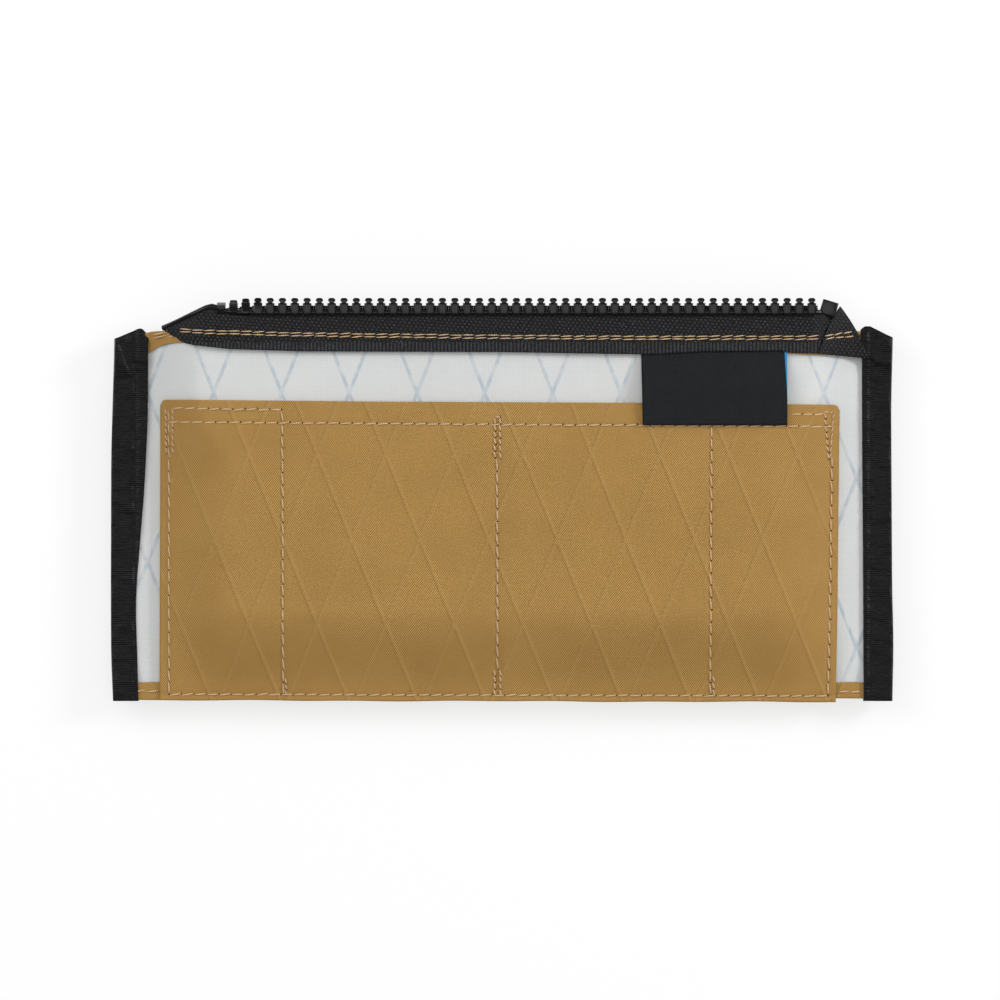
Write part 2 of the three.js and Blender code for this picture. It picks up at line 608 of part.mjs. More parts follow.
// Two plates with lips round the rows, joined by the diamond at the mouth, and a bridge for the pull.
function slider() {
  const half = SLIDER_LENGTH / 2;
  const wide = SLIDER_HALF_WIDTH;
  const corner = SLIDER_REAR_CORNER;
  const outline = new THREE.Shape([
    new THREE.Vector2(-half, -wide + corner),
    new THREE.Vector2(-half + corner, -wide),
    new THREE.Vector2(half - 1, -wide),
    new THREE.Vector2(half, -wide + 1),
    new THREE.Vector2(half, wide - 1),
    new THREE.Vector2(half - 1, wide),
    new THREE.Vector2(-half + corner, wide),
    new THREE.Vector2(-half, wide - corner),
  ]);
  let solid = solidFrom(uprightExtrusion(outline, 2 * SLIDER_HALF_THICKNESS));

  const inside = wide - SLIDER_LIP;
  const channel = new THREE.Shape([
    new THREE.Vector2(-half - 1, -inside),
    new THREE.Vector2(half + 1, -inside),
    new THREE.Vector2(half + 1, inside),
    new THREE.Vector2(-half - 1, inside),
  ]);
  const diamondEnd = half - 0.8;
  channel.holes.push(
    new THREE.Path([
      new THREE.Vector2(diamondEnd - DIAMOND_LENGTH, 0),
      new THREE.Vector2(diamondEnd - 1, DIAMOND_WIDTH / 2),
      new THREE.Vector2(diamondEnd, 0),
      new THREE.Vector2(diamondEnd - 1, -DIAMOND_WIDTH / 2),
    ]),
  );
  const channelDepth = 2 * (SLIDER_HALF_THICKNESS - SLIDER_PLATE);
  solid = solid.subtract(solidFrom(uprightExtrusion(channel, channelDepth)));
  const slot = SLIDER_SLOT / 2;
  for (const [z0, z1] of [[-wide - 1, -inside + 0.1], [inside - 0.1, wide + 1]]) {
    solid = solid.subtract(solidFrom(block(-half - 1, half + 1, -slot, slot, z0, z1)));
  }

  const face = -SLIDER_HALF_THICKNESS;
  const reach = PULL_THICKNESS + 2 * MOVING_GAP;
  const bridge = new THREE.Shape([
    new THREE.Vector2(-BRIDGE_LENGTH / 2, face + 0.1),
    new THREE.Vector2(-BRIDGE_LENGTH / 2, face - reach),
    new THREE.Vector2(-BRIDGE_LENGTH / 2 + 0.8, face - reach - BRIDGE_THICKNESS),
    new THREE.Vector2(BRIDGE_LENGTH / 2 - 0.8, face - reach - BRIDGE_THICKNESS),
    new THREE.Vector2(BRIDGE_LENGTH / 2, face - reach),
    new THREE.Vector2(BRIDGE_LENGTH / 2, face + 0.1),
    new THREE.Vector2(BRIDGE_LENGTH / 2 - 1, face + 0.1),
    new THREE.Vector2(BRIDGE_LENGTH / 2 - 1, face - reach),
    new THREE.Vector2(-BRIDGE_LENGTH / 2 + 1, face - reach),
    new THREE.Vector2(-BRIDGE_LENGTH / 2 + 1, face + 0.1),
  ]);
  const arch = new THREE.ExtrudeGeometry(bridge, { depth: BRIDGE_WIDTH, bevelEnabled: false });
  arch.translate(0, 0, -BRIDGE_WIDTH / 2);
  const made = mesh("slider_body", geometryOf(solid.add(solidFrom(arch))), METAL);
  made.position.set(SLIDER_X, ROW_Y, SLIDER_Z);
  return made;
}

const HINGE_Y = ROW_Y - SLIDER_HALF_THICKNESS - MOVING_GAP - PULL_THICKNESS / 2;

// A flat tab with an eye round the slider's bridge. It hangs on a bar that is its own top edge.
function pullTab() {
  const bar = PULL_THICKNESS / 2;
  const eye = PULL_EYE_WIDTH / 2;
  const grip = PULL_GRIP_WIDTH / 2;
  const shape = new THREE.Shape([
    new THREE.Vector2(bar, -eye),
    new THREE.Vector2(bar, eye),
    new THREE.Vector2(-PULL_EYE_LENGTH, eye),
    new THREE.Vector2(-PULL_EYE_LENGTH - 1.5, grip),
    new THREE.Vector2(-PULL_LENGTH + 1.6, grip),
    new THREE.Vector2(-PULL_LENGTH, grip - 1.6),
    new THREE.Vector2(-PULL_LENGTH, -grip + 1.6),
    new THREE.Vector2(-PULL_LENGTH + 1.6, -grip),
    new THREE.Vector2(-PULL_EYE_LENGTH - 1.5, -grip),
    new THREE.Vector2(-PULL_EYE_LENGTH, -eye),
  ]);
  shape.holes.push(
    new THREE.Path([
      new THREE.Vector2(-bar, -eye + PULL_ARM),
      new THREE.Vector2(-PULL_EYE_LENGTH, -eye + PULL_ARM),
      new THREE.Vector2(-PULL_EYE_LENGTH, eye - PULL_ARM),
      new THREE.Vector2(-bar, eye - PULL_ARM),
    ]),
  );
  const geometry = new THREE.ExtrudeGeometry(shape, { depth: PULL_THICKNESS, bevelEnabled: false });
  geometry.translate(0, 0, -PULL_THICKNESS / 2);
  // Drawn with its length on X and its width on Y: turned to length on Y, width on Z.
  const turn = new THREE.Matrix4().makeBasis(
    new THREE.Vector3(0, 1, 0),
    new THREE.Vector3(0, 0, 1),
    new THREE.Vector3(1, 0, 0),
  );
  geometry.applyMatrix4(turn);
  const made = mesh("pull_tab", geometryOf(solidFrom(geometry)), METAL);
  made.position.set(SLIDER_X, HINGE_Y, SLIDER_Z);
  return made;
}

const pouch = new THREE.Group();
pouch.add(
  frontWall(),
  backWall(),
  pocketPanel(),
  wovenLabel(),
  binding("left_binding", LEFT_SEAM_X, LEFT_BINDING_WIDTH, -1),
  binding("right_binding", RIGHT_SEAM_X, RIGHT_BINDING_WIDTH, 1),
  frontTape(),
  frontRow(),
  frontTopStop(),
  backTape(),
  backRow(),
  backTopStop(),
  bottomStop(),
  slider(),
  pullTab(),
);

export default pouch;
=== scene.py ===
# %% [markdown]
# A zip wallet turned inside out. Its walls are laminated sailcloth: a woven brown face, a layer
# of bias yarns and a white film that is the lining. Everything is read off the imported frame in
# metres, while this script thinks in millimetres and turns them to metres where a mesh is made.

import math

import bpy
import numpy as np
from mathutils import Matrix, Vector


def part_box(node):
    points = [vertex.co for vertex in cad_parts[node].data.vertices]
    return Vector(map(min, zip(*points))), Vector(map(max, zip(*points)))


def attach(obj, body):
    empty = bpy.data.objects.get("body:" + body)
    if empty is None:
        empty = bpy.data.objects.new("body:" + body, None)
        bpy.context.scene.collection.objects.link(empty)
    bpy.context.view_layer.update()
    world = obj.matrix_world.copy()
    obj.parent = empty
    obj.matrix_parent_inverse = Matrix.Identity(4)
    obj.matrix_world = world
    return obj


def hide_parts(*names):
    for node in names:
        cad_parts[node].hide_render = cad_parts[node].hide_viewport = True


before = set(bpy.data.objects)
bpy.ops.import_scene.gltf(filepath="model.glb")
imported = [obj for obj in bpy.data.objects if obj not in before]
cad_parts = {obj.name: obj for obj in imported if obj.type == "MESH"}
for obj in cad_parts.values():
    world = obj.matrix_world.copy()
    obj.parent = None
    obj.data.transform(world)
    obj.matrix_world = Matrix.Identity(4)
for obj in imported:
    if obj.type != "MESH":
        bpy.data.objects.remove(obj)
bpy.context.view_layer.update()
bpy.ops.object.select_all(action="DESELECT")

MM = 0.001


def node_box(name):
    """Lowest and highest corner of a CAD node, in millimetres."""
    low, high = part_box(name)
    return np.array(low) / MM, np.array(high) / MM


print("nodes:", sorted(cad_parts))

# %% [markdown]
# The driving sizes are the ones the solids were drawn with. Each wall runs flat in the middle and
# curves down, or up, to the side and bottom seams. One function for each wall gives its height
# anywhere, and every layer that is sewn to it uses the same function, so none cuts another.

# %% Sizes of the pouch
CLOTH = 0.4  # one layer
LAYER_GAP = 0.3  # air between two sewn layers
LAYER = CLOTH + LAYER_GAP
SEAM_HEIGHT = 6.0  # of the seams above the table
LEFT_SEAM_X = -92.7
RIGHT_SEAM_X = 94.2
FRONT_TOP_Y = 44.9  # folds of the two top hems
BACK_TOP_Y = 43.4
BOTTOM_Y = -52.2
ALLOWANCE = 4.4  # bottom seam allowance, turned up
HEM_DEPTH = 5.0
FRONT_HEIGHT = 14.9  # middle of the front wall's cloth at the mouth
SIDE_RISE = 24.0  # how far in from a side seam a wall reaches its full height
CORNER_RISE = 14.0  # the same, beside the mouth
CORNER_START_Y = 2.0
CORNER_END_Y = 30.0
BOTTOM_RISE = 24.0
TAPE = 0.5
TAPE_LAYER = LAYER + CLOTH / 2 + LAYER_GAP + TAPE / 2
TAPE_BELOW_FOLD = 5.8
BACK_LIFT_LENGTH = 14.0  # over which the back wall climbs on to its hem and tape


def smooth_step(value):
    t = np.clip(value, 0.0, 1.0)
    return t * t * (3.0 - 2.0 * t)


def mix(a, b, share):
    return a + (b - a) * share


def fullness(x, y):
    """0 at the side and bottom seams, 1 where a wall has reached its full height."""
    towards_mouth = smooth_step((y - CORNER_START_Y) / (CORNER_END_Y - CORNER_START_Y))
    rise = mix(SIDE_RISE, CORNER_RISE, towards_mouth)
    from_seam = np.minimum(x - LEFT_SEAM_X, RIGHT_SEAM_X - x)
    return smooth_step(from_seam / rise) * smooth_step((y - BOTTOM_Y) / BOTTOM_RISE)


def slack(x, y):
    """The cloth's slow waves, gone at the seams."""
    wave = 0.16 * np.sin(x / 9.0 + y / 17.0) + 0.12 * np.sin(x / 21.0 - y / 8.0 + 1.0)
    wave += 0.07 * np.sin(x / 4.3 + 0.6) * np.sin(y / 5.1)
    return wave * fullness(x, y)


def front_height(x, y):
    seam = SEAM_HEIGHT + LAYER / 2
    return mix(seam, FRONT_HEIGHT, fullness(x, y)) + slack(x, y)


def back_height(x, y):
    hem_edge = BACK_TOP_Y - TAPE_BELOW_FOLD
    lift = smooth_step((y - hem_edge + BACK_LIFT_LENGTH) / (BACK_LIFT_LENGTH - 1.0))
    tape_floor = TAPE_LAYER + TAPE / 2
    floor = CLOTH / 2 + (tape_floor - CLOTH / 2) * lift
    return mix(SEAM_HEIGHT - LAYER / 2, floor, fullness(x, y))


print("front wall at the middle of the mouth:", float(front_height(0.0, FRONT_TOP_Y)), "mm")

# %% [markdown]
# A material could be drawn by hand in the shader editor. Here one small function adds a node,
# sets it and links it, so each finish reads as a recipe. Colours are sRGB hex values, turned to
# linear light in one place. Patterns use the piece's own coordinates, so their sizes are real.

# %% Colour and node helpers
MATH_NODE = "ShaderNodeMath"
SHARE, FIRST, SECOND, MIXED = 0, 6, 7, 2  # a colour Mix node's sockets


def srgb(hex_value):
    channels = [int(hex_value[i:i + 2], 16) / 255 for i in (1, 3, 5)]
    linear = [c / 12.92 if c <= 0.04045 else ((c + 0.055) / 1.055) ** 2.4 for c in channels]
    return (*linear, 1.0)


def node(tree, kind, inputs=None, **settings):
    """Adds a node. A value in inputs is a number, a colour or another node's output socket."""
    made = tree.nodes.new(kind)
    for name, value in settings.items():
        setattr(made, name, value)
    for key, value in (inputs or {}).items():
        if isinstance(value, bpy.types.NodeSocket):
            tree.links.new(value, made.inputs[key])
        else:
            made.inputs[key].default_value = value
    return made


def new_material(name, **shader_values):
    material = bpy.data.materials.new(name)
    material.use_nodes = True
    tree = material.node_tree
    shader = tree.nodes["Principled BSDF"]
    for key, value in shader_values.items():
        shader.inputs[key.replace("_", " ")].default_value = value
    return material, tree, shader


def object_axes(tree):
    """The piece's own x, y and z, in metres."""
    place = node(tree, "ShaderNodeTexCoord")
    axes = node(tree, "ShaderNodeSeparateXYZ", {0: place.outputs["Object"]})
    return place.outputs["Object"], axes.outputs


def ribs(tree, place, pitch_mm, angle=0.0):
    """Fine threads or ribs: 0 to 1 across a distance of pitch_mm, turned about Z."""
    turned = node(tree, "ShaderNodeMapping", {"Vector": place, "Rotation": (0, 0, math.radians(angle))})
    radians_per_metre = 2 * math.pi / (pitch_mm * MM)
    waves_unit = 20.0  # Blender's wave texture turns 20 radians a unit at scale 1
    wave = node(
        tree,
        "ShaderNodeTexWave",
        {"Vector": turned.outputs[0], "Scale": radians_per_metre / waves_unit, "Distortion": 0.0},
        wave_type="BANDS",
        bands_direction="X",
        wave_profile="SIN",
    )
    return wave.outputs["Fac"]


def calculate(tree, operation, a, b=0.0, c=0.0):
    return node(tree, MATH_NODE, {0: a, 1: b, 2: c}, operation=operation).outputs[0]


def blended(tree, share, low, high):
    made = node(tree, "ShaderNodeMix", {SHARE: share, FIRST: low, SECOND: high}, data_type="RGBA")
    return made.outputs[MIXED]


def noise(tree, place, size_mm, detail=3.0):
    made = node(tree, "ShaderNodeTexNoise", {"Vector": place, "Scale": 1 / (size_mm * MM), "Detail": detail})
    return made.outputs["Fac"]


def spread(tree, value, low, high, to_low, to_high):
    """Maps low..high to to_low..to_high."""
    limits = {"From Min": low, "From Max": high, "To Min": to_low, "To Max": to_high}
    return node(tree, "ShaderNodeMapRange", {"Value": value, **limits}).outputs[0]


def give_surface(tree, shader, colour, height, relief_mm):
    """Links a finish's colour, and its relief of relief_mm where height is 1."""
    relief = node(tree, "ShaderNodeBump", {"Height": height, "Distance": relief_mm * MM, "Strength": 1.0})
    tree.links.new(colour, shader.inputs["Base Color"])
    tree.links.new(relief.outputs[0], shader.inputs["Normal"])


print("mid grey in linear light:", srgb("#808080")[0])


# %% [markdown]
# The bias yarns of the laminate cross as tall diamonds. Counting a point's place along both yarn
# directions gives whole numbers on the yarns, so the distance to the nearest whole number is the
# distance to a yarn. The same sum is used in mesh code, where the yarns stand up as ridges, and
# in nodes, where they are coloured, so the two always meet.

# %% Diamond yarns
YARN_PERIOD = 44.6  # along Y
WALL_YARNS = {"x": -75.4, "y": 28.4, "spacing": 17.75}  # one crossing, and the spacing along X
PANEL_YARNS = {"x": -12.6, "y": 12.3, "spacing": 17.95}
YARN_CORE = 0.55  # share of a yarn's half width that is fully coloured
YARN_FADE = 1.35  # share at which its colour has gone


def across_yarns(layer):
    """Distance across the yarns for one count."""
    return layer["spacing"] * math.cos(math.atan2(layer["spacing"], YARN_PERIOD))


def yarn_distance(x, y, layer):
    """Distance in millimetres to the nearest yarn of a layer."""
    nearest = None
    for side in (-1.0, 1.0):
        count = (x - layer["x"]) / layer["spacing"] + side * (y - layer["y"]) / YARN_PERIOD
        away = np.abs(count - np.round(count)) * across_yarns(layer)
        nearest = away if nearest is None else np.minimum(nearest, away)
    return nearest


def yarn_mask(tree, axes, layer, half_width_mm):
    """1 on a yarn and 0 between them."""
    nearest = None
    for side in (-1.0, 1.0):
        along_y = calculate(tree, "MULTIPLY", axes[1], side / (YARN_PERIOD * MM))
        count = calculate(tree, "MULTIPLY_ADD", axes[0], 1 / (layer["spacing"] * MM), along_y)
        offset = layer["x"] / layer["spacing"] + side * layer["y"] / YARN_PERIOD
        count = calculate(tree, "SUBTRACT", count, offset)
        away = calculate(tree, "PINGPONG", count, 0.5)
        nearest = away if nearest is None else calculate(tree, "MINIMUM", nearest, away)
    half_width = half_width_mm / across_yarns(layer)
    faded = node(
        tree,
        "ShaderNodeMapRange",
        {"Value": nearest, "From Min": YARN_CORE * half_width, "From Max": YARN_FADE * half_width,
         "To Min": 1.0, "To Max": 0.0},
        interpolation_type="SMOOTHSTEP",
    )
    return faded.outputs[0]


print("yarns are", round(across_yarns(WALL_YARNS), 2), "mm apart")


# %% [markdown]
# The lining is a matt white film, pressed on a fine square scrim. The yarns lie under the film, so
# they show as pale blue lines, worn here and there, and the film is slightly raised over them. The
# scrim could be an image, but two crossed waves give it at an exact pitch.

# %% White film lining
def lining_material():
    material, tree, shader = new_material("white film lining", Roughness=0.5, Specular_IOR_Level=0.3)
    place, axes = object_axes(tree)
    yarns = yarn_mask(tree, axes, WALL_YARNS, 0.45)
    streaks = noise(tree, place, 7.0)
    scrim = calculate(tree, "MULTIPLY", ribs(tree, place, 0.62), ribs(tree, place, 0.62, 90))
    cloudy = blended(tree, streaks, srgb("#c6c8c7"), srgb("#cecfce"))
    threaded = blended(tree, calculate(tree, "MULTIPLY", scrim, 0.4), cloudy, srgb("#bbbebd"))
    worn = spread(tree, noise(tree, place, 3.0), 0.35, 0.62, 0.25, 0.95)
    colour = blended(tree, calculate(tree, "MULTIPLY", yarns, worn), threaded, srgb("#a8b4bd"))
    height = calculate(tree, "MULTIPLY_ADD", yarns, 0.9, calculate(tree, "MULTIPLY", scrim, 0.35))
    height = calculate(tree, "MULTIPLY_ADD", noise(tree, place, 2.2), 0.9, height)
    give_surface(tree, shader, colour, height, 0.09)
    return material


LINING = lining_material()
print("made", LINING.name)

# %% [markdown]
# The brown face is nylon in plain weave. Light catches the crossings along one diagonal, which
# gives the fine slanting hatch. The panel's yarn ridges are bent into its mesh, as they show from
# the side, and the threads are bump. The walls' face takes the same weave with their own yarns.

# %% Brown woven face
def woven_material(name, layer):
    material, tree, shader = new_material(name, Roughness=0.68, Specular_IOR_Level=0.25)
    place, axes = object_axes(tree)
    hatch = ribs(tree, place, 0.46, 38)
    cross = ribs(tree, place, 0.43, -50)
    glint = spread(tree, noise(tree, place, 22.0, 1.0), 0.35, 0.65, 0.25, 1.65)
    threads = calculate(tree, "MULTIPLY_ADD", hatch, 0.68, calculate(tree, "MULTIPLY", cross, 0.32))
    caught = calculate(tree, "MULTIPLY", calculate(tree, "SUBTRACT", threads, 0.5), glint)
    blotches = calculate(tree, "MULTIPLY_ADD", noise(tree, place, 14.0, 4.0), 0.3, 0.27)
    tone = calculate(tree, "ADD", caught, blotches)
    colour = blended(tree, tone, srgb("#87622a"), srgb("#bd9757"))
    # Painted highlight: a pale line along the flank of each yarn ridge that faces the key lamp.
    painted_lit_flank = yarn_mask(tree, axes, {**layer, "x": layer["x"] + 0.4}, 0.4)
    colour = blended(tree, calculate(tree, "MULTIPLY", painted_lit_flank, 0.06), colour, srgb("#cfae78"))
    grain = calculate(tree, "MULTIPLY_ADD", noise(tree, place, 0.7), 0.3, threads)
    height = calculate(tree, "MULTIPLY_ADD", yarn_mask(tree, axes, layer, 0.42), 1.3, grain)
    give_surface(tree, shader, colour, height, 0.1)
    return material


WOVEN = woven_material("brown nylon weave", PANEL_YARNS)
WOVEN_WALL = woven_material("brown nylon wall face", WALL_YARNS)
print("made", WOVEN.name, "and", WOVEN_WALL.name)

# %% [markdown]
# The black parts differ in their weave: the binding is a smooth tape with cross ribs and creases,
# the zip tape is a twill with a ribbed edge, and the label is a dense satin weave with a blue
# selvedge. The back tape and the folded end show no ribs, so theirs end below the piece.

# %% Black tapes and label
def binding_material():
    material, tree, shader = new_material("black binding tape", Roughness=0.4, Specular_IOR_Level=0.2)
    place, _ = object_axes(tree)
    colour = blended(tree, noise(tree, place, 5.0, 4.0), srgb("#080809"), srgb("#121213"))
    stretched = node(tree, "ShaderNodeMapping", {"Vector": place, "Scale": (0.4, 1.0, 1.0)})
    creases = noise(tree, stretched.outputs[0], 1.9)
    rib = calculate(tree, "MULTIPLY", ribs(tree, place, 0.55, 90), 0.3)
    give_surface(tree, shader, colour, calculate(tree, "MULTIPLY_ADD", creases, 4.0, rib), 0.16)
    return material


def zip_tape_material(name, rib_edge_y):
    """Twill, with ribs below rib_edge_y."""
    material, tree, shader = new_material(name, Roughness=0.5, Specular_IOR_Level=0.2)
    place, axes = object_axes(tree)
    edge = calculate(tree, "LESS_THAN", axes[1], rib_edge_y * MM)
    rib = calculate(tree, "MULTIPLY", ribs(tree, place, 0.95), edge)
    twill = calculate(tree, "MULTIPLY", ribs(tree, place, 1.0, 35), ribs(tree, place, 0.9, -35))
    rough = calculate(tree, "SUBTRACT", 1.0, edge)
    threads = calculate(tree, "MULTIPLY_ADD", calculate(tree, "MULTIPLY", twill, rough), 1.2, rib)
    fuzz = calculate(tree, "MULTIPLY_ADD", noise(tree, place, 0.5), 0.7, threads)
    # Painted highlight: the pale flecks along the twill and ribs are painted sparkle, light caught by the
    # black fibres.
    painted_sparkle = calculate(tree, "MULTIPLY", fuzz, noise(tree, place, 0.4, 1.0))
    colour = blended(tree, calculate(tree, "POWER", painted_sparkle, 1.7), srgb("#040405"), srgb("#46474b"))
    give_surface(tree, shader, colour, fuzz, 0.22)
    return material


LABEL_LOW, LABEL_HIGH = node_box("woven_label")
LABEL_LEFT_X, LABEL_RIGHT_X = LABEL_LOW[0], LABEL_HIGH[0]
SELVEDGE_SLANT = -0.055  # x for each y
SELVEDGE_OFFSET = 1.72


def label_material():
    material, tree, shader = new_material("black satin label", Roughness=0.6, Specular_IOR_Level=0.2)
    place, axes = object_axes(tree)
    threads = calculate(tree, "MULTIPLY_ADD", ribs(tree, place, 0.42, 90), 0.7, ribs(tree, place, 0.5))
    clouds = noise(tree, place, 1.1, 4.0)
    black = blended(tree, clouds, srgb("#0b0e10"), srgb("#181d20"))
    edge_x = (LABEL_RIGHT_X + SELVEDGE_OFFSET) * MM
    slant = calculate(tree, "MULTIPLY_ADD", axes[1], SELVEDGE_SLANT, edge_x)
    selvedge = calculate(tree, "GREATER_THAN", axes[0], slant)
    colour = blended(tree, selvedge, black, srgb("#1d86bd"))
    give_surface(tree, shader, colour, calculate(tree, "MULTIPLY_ADD", clouds, 0.8, threads), 0.07)
    return material


BINDING = binding_material()
RIBBED_BELOW_Y = 41.5  # on the front tape
ZIP_TAPE = zip_tape_material("black zip tape", RIBBED_BELOW_Y)
ZIP_TAPE_BACK = zip_tape_material("black zip tape underside", 0.0)
LABEL = label_material()
print("made", BINDING.name, ZIP_TAPE.name, ZIP_TAPE_BACK.name, LABEL.name)

# %% [markdown]
# The teeth are injection moulded acetal, which is satin with a soft highlight. The slider is a
# painted zinc casting. They differ only in numbers, so one function makes both. The thread is a
# three-ply polyester, pale against the brown cloth, with its plies as a turned wave. The wave is
# also in the colour, as a painted highlight on the plies' crowns and painted shade in the grooves.

# %% Teeth, slider and thread
def hard_black(name, blotch_mm, detail, low, high, grain_mm, relief_mm, **shader_values):
    material, tree, shader = new_material(name, **shader_values)
    place, _ = object_axes(tree)
    colour = blended(tree, noise(tree, place, blotch_mm, detail), srgb(low), srgb(high))
    give_surface(tree, shader, colour, noise(tree, place, grain_mm, detail), relief_mm)
    return material


def thread_material():
    material, tree, shader = new_material("tan sewing thread", Roughness=0.6, Specular_IOR_Level=0.3)
    place, _ = object_axes(tree)
    # Painted highlight and shade: the ply wave lightens the crowns and darkens the grooves between plies.
    ply = ribs(tree, place, 0.38, 35)
    share = calculate(tree, "MULTIPLY_ADD", ply, 0.7, 0.25)
    give_surface(tree, shader, blended(tree, share, srgb("#8f6b45"), srgb("#e6c8a0")), ply, 0.08)
    return material


TEETH = hard_black(
    "black moulded acetal", 2.0, 3.0, "#060607", "#0e0e0f", 0.35, 0.02,
    Roughness=0.24, Specular_IOR_Level=0.35,
)
METAL = hard_black(
    "black slider paint", 1.2, 5.0, "#070708", "#121213", 0.3, 0.015, Roughness=0.34, Coat_Weight=0.3
)
THREAD = thread_material()
print("made", TEETH.name, METAL.name, THREAD.name)

# %% [markdown]
# A camera on a long lens looks straight down, so the picture is close to a plan. The floor is
# pale, and glows a little where the camera and reflections see it, because more light would
# bleach the object. The world gives half of the light, and three soft lamps give the rest.

# %% Camera, floor and light
PICTURE_WIDTH = 262.5  # at the object
CAMERA_DISTANCE = 2200.0
FOCUS_HEIGHT = 9.0
SENSOR_WIDTH = 36.0

camera_data = bpy.data.cameras.new("camera")
camera_data.sensor_width = SENSOR_WIDTH
camera_data.sensor_fit = "HORIZONTAL"
camera_data.lens = SENSOR_WIDTH * CAMERA_DISTANCE / PICTURE_WIDTH
camera_data.clip_end = 20.0
camera = bpy.data.objects.new("camera", camera_data)
camera.location = (-0.5 * MM, 0.2 * MM, (CAMERA_DISTANCE + FOCUS_HEIGHT) * MM)
bpy.context.collection.objects.link(camera)
bpy.context.scene.camera = camera
print("lens:", camera_data.lens, "mm")

bpy.ops.mesh.primitive_plane_add(size=6.0, location=(0, 0, -0.0002))
floor = bpy.context.object
floor.name = "floor"
floor_material, floor_tree, floor_shader = new_material("pale floor", Roughness=0.9)
floor_shader.inputs["Base Color"].default_value = srgb("#f4f4f4")
ray = node(floor_tree, "ShaderNodeLightPath")
seen = calculate(floor_tree, "MAXIMUM", ray.outputs["Is Camera Ray"], ray.outputs["Is Glossy Ray"])
glow = node(floor_tree, "ShaderNodeEmission", {"Color": (1, 1, 1, 1), "Strength": 1.0})
share = calculate(floor_tree, "MULTIPLY", seen, 0.7)
joined = node(floor_tree, "ShaderNodeMixShader", {0: share, 1: floor_shader.outputs[0], 2: glow.outputs[0]})
floor_tree.links.new(joined.outputs[0], floor_tree.nodes["Material Output"].inputs["Surface"])
floor.data.materials.append(floor_material)

world = bpy.data.worlds.new("studio")
bpy.context.scene.world = world
world.use_nodes = True
world_tree = world.node_tree
world_ray = node(world_tree, "ShaderNodeLightPath")
in_gloss, in_camera = world_ray.outputs["Is Glossy Ray"], world_ray.outputs["Is Camera Ray"]
strength = calculate(world_tree, "MULTIPLY_ADD", in_gloss, -0.3, 0.5)  # black parts stay black
strength = calculate(world_tree, "MULTIPLY_ADD", in_camera, 0.5, strength)
background = world_tree.nodes["Background"]
background.inputs["Color"].default_value = (1, 1, 1, 1)
world_tree.links.new(strength, background.inputs["Strength"])


def area_lamp(name, place, size, power):
    data = bpy.data.lights.new(name, "AREA")
    data.shape = "SQUARE"
    data.size = size
    data.energy = power
    lamp = bpy.data.objects.new(name, data)
    lamp.location = place
    lamp.rotation_euler = (-Vector(place)).to_track_quat("-Z", "Y").to_euler()
    bpy.context.collection.objects.link(lamp)


area_lamp("key lamp", (0.95, 0.4, 0.6), 0.35, 7.5)
area_lamp("fill lamp", (-0.9, 0.5, 0.8), 0.8, 6.3)
area_lamp("top lamp", (0.0, 0.1, 1.5), 1.0, 4.5)
bpy.context.scene.view_settings.view_transform = "Standard"

# %% [markdown]
# Each cloth piece starts as a grid primitive. Its points are then laid where the cloth lies, and
# Solidify gives it thickness. The two sides of a laminate take two material slots, so a hem that
# is folded over shows its brown face by itself.

# %% Cloth helpers
LAMINATE = 0.34  # thicknesses of the visual cloths
TAPE_WEAVE = 0.42


def select_only(piece):
    bpy.ops.object.select_all(action="DESELECT")
    piece.select_set(True)
    bpy.context.view_layer.objects.active = piece


def apply_modifiers(piece):
    select_only(piece)
    for modifier in list(piece.modifiers):
        bpy.ops.object.modifier_apply(modifier=modifier.name)


def laid_grid(name, across, along, place):
    """A grid whose points are moved to place(u, v), given as arrays in millimetres."""
    bpy.ops.object.select_all(action="DESELECT")
    bpy.ops.mesh.primitive_grid_add(x_subdivisions=across, y_subdivisions=along, size=2)
    piece = bpy.context.object
    piece.name = name
    piece.data.name = name
    flat = np.zeros(len(piece.data.vertices) * 3)
    piece.data.vertices.foreach_get("co", flat)
    flat = flat.reshape(-1, 3)
    u = (flat[:, 0] + 1) / 2
    v = (flat[:, 1] + 1) / 2
    placed = np.stack(place(u, v), axis=1) * MM
    piece.data.vertices.foreach_set("co", placed.ravel())
    piece.data.update()
    return piece


def thicken(piece, thickness, two_faced=False):
    solid = piece.modifiers.new("thickness", "SOLIDIFY")
    solid.thickness = thickness * MM
    solid.offset = 0.0
    solid.use_even_offset = True
    if two_faced:
        solid.material_offset = 1
    apply_modifiers(piece)
    piece.data.shade_smooth()


def finish_piece(piece, body, materials):
    for material in materials:
        piece.data.materials.append(material)
    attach(piece, body)
    print(piece.name, "rides on", body, "with", len(piece.data.polygons), "faces")


def line_through(knots, x):
    return np.interp(x, [k[0] for k in knots], [k[1] for k in knots])


print("a laminate is", LAMINATE, "mm and a zip tape", TAPE_WEAVE, "mm thick")


# %% [markdown]
# A wall is one strip of cloth, from the raw edge of its bottom allowance, round the bottom fold, up
# the wall, round the top fold, and down to the raw edge of its hem. A point's place on the strip
# is found by its length along that path, with more rows given to the two tight folds.

# %% Front wall
FOLD = LAYER / 2
FLANGE_INSET = 0.9  # the walls' side edges end this far inside the stiff ones, clear of the bindings
HEM_EDGE = [  # as (x, y)
    (-102.0, 37.6), (-92.9, 38.6), (-90.3, 40.4), (-87.2, 41.2), (-83.7, 41.5), (-76.0, 40.4),
    (30.0, 39.6), (70.0, 38.9), (80.0, 38.2), (102.0, 37.9),
]
TOP_FOLD_DROP = [  # how far the top fold lies lower at each x
    (-102.0, 4.2), (-96.0, 1.4), (-92.0, 0.4), (-84.0, 0.0), (84.0, 0.0), (94.0, 0.3), (97.0, 0.8),
    (102.0, 4.2),
]


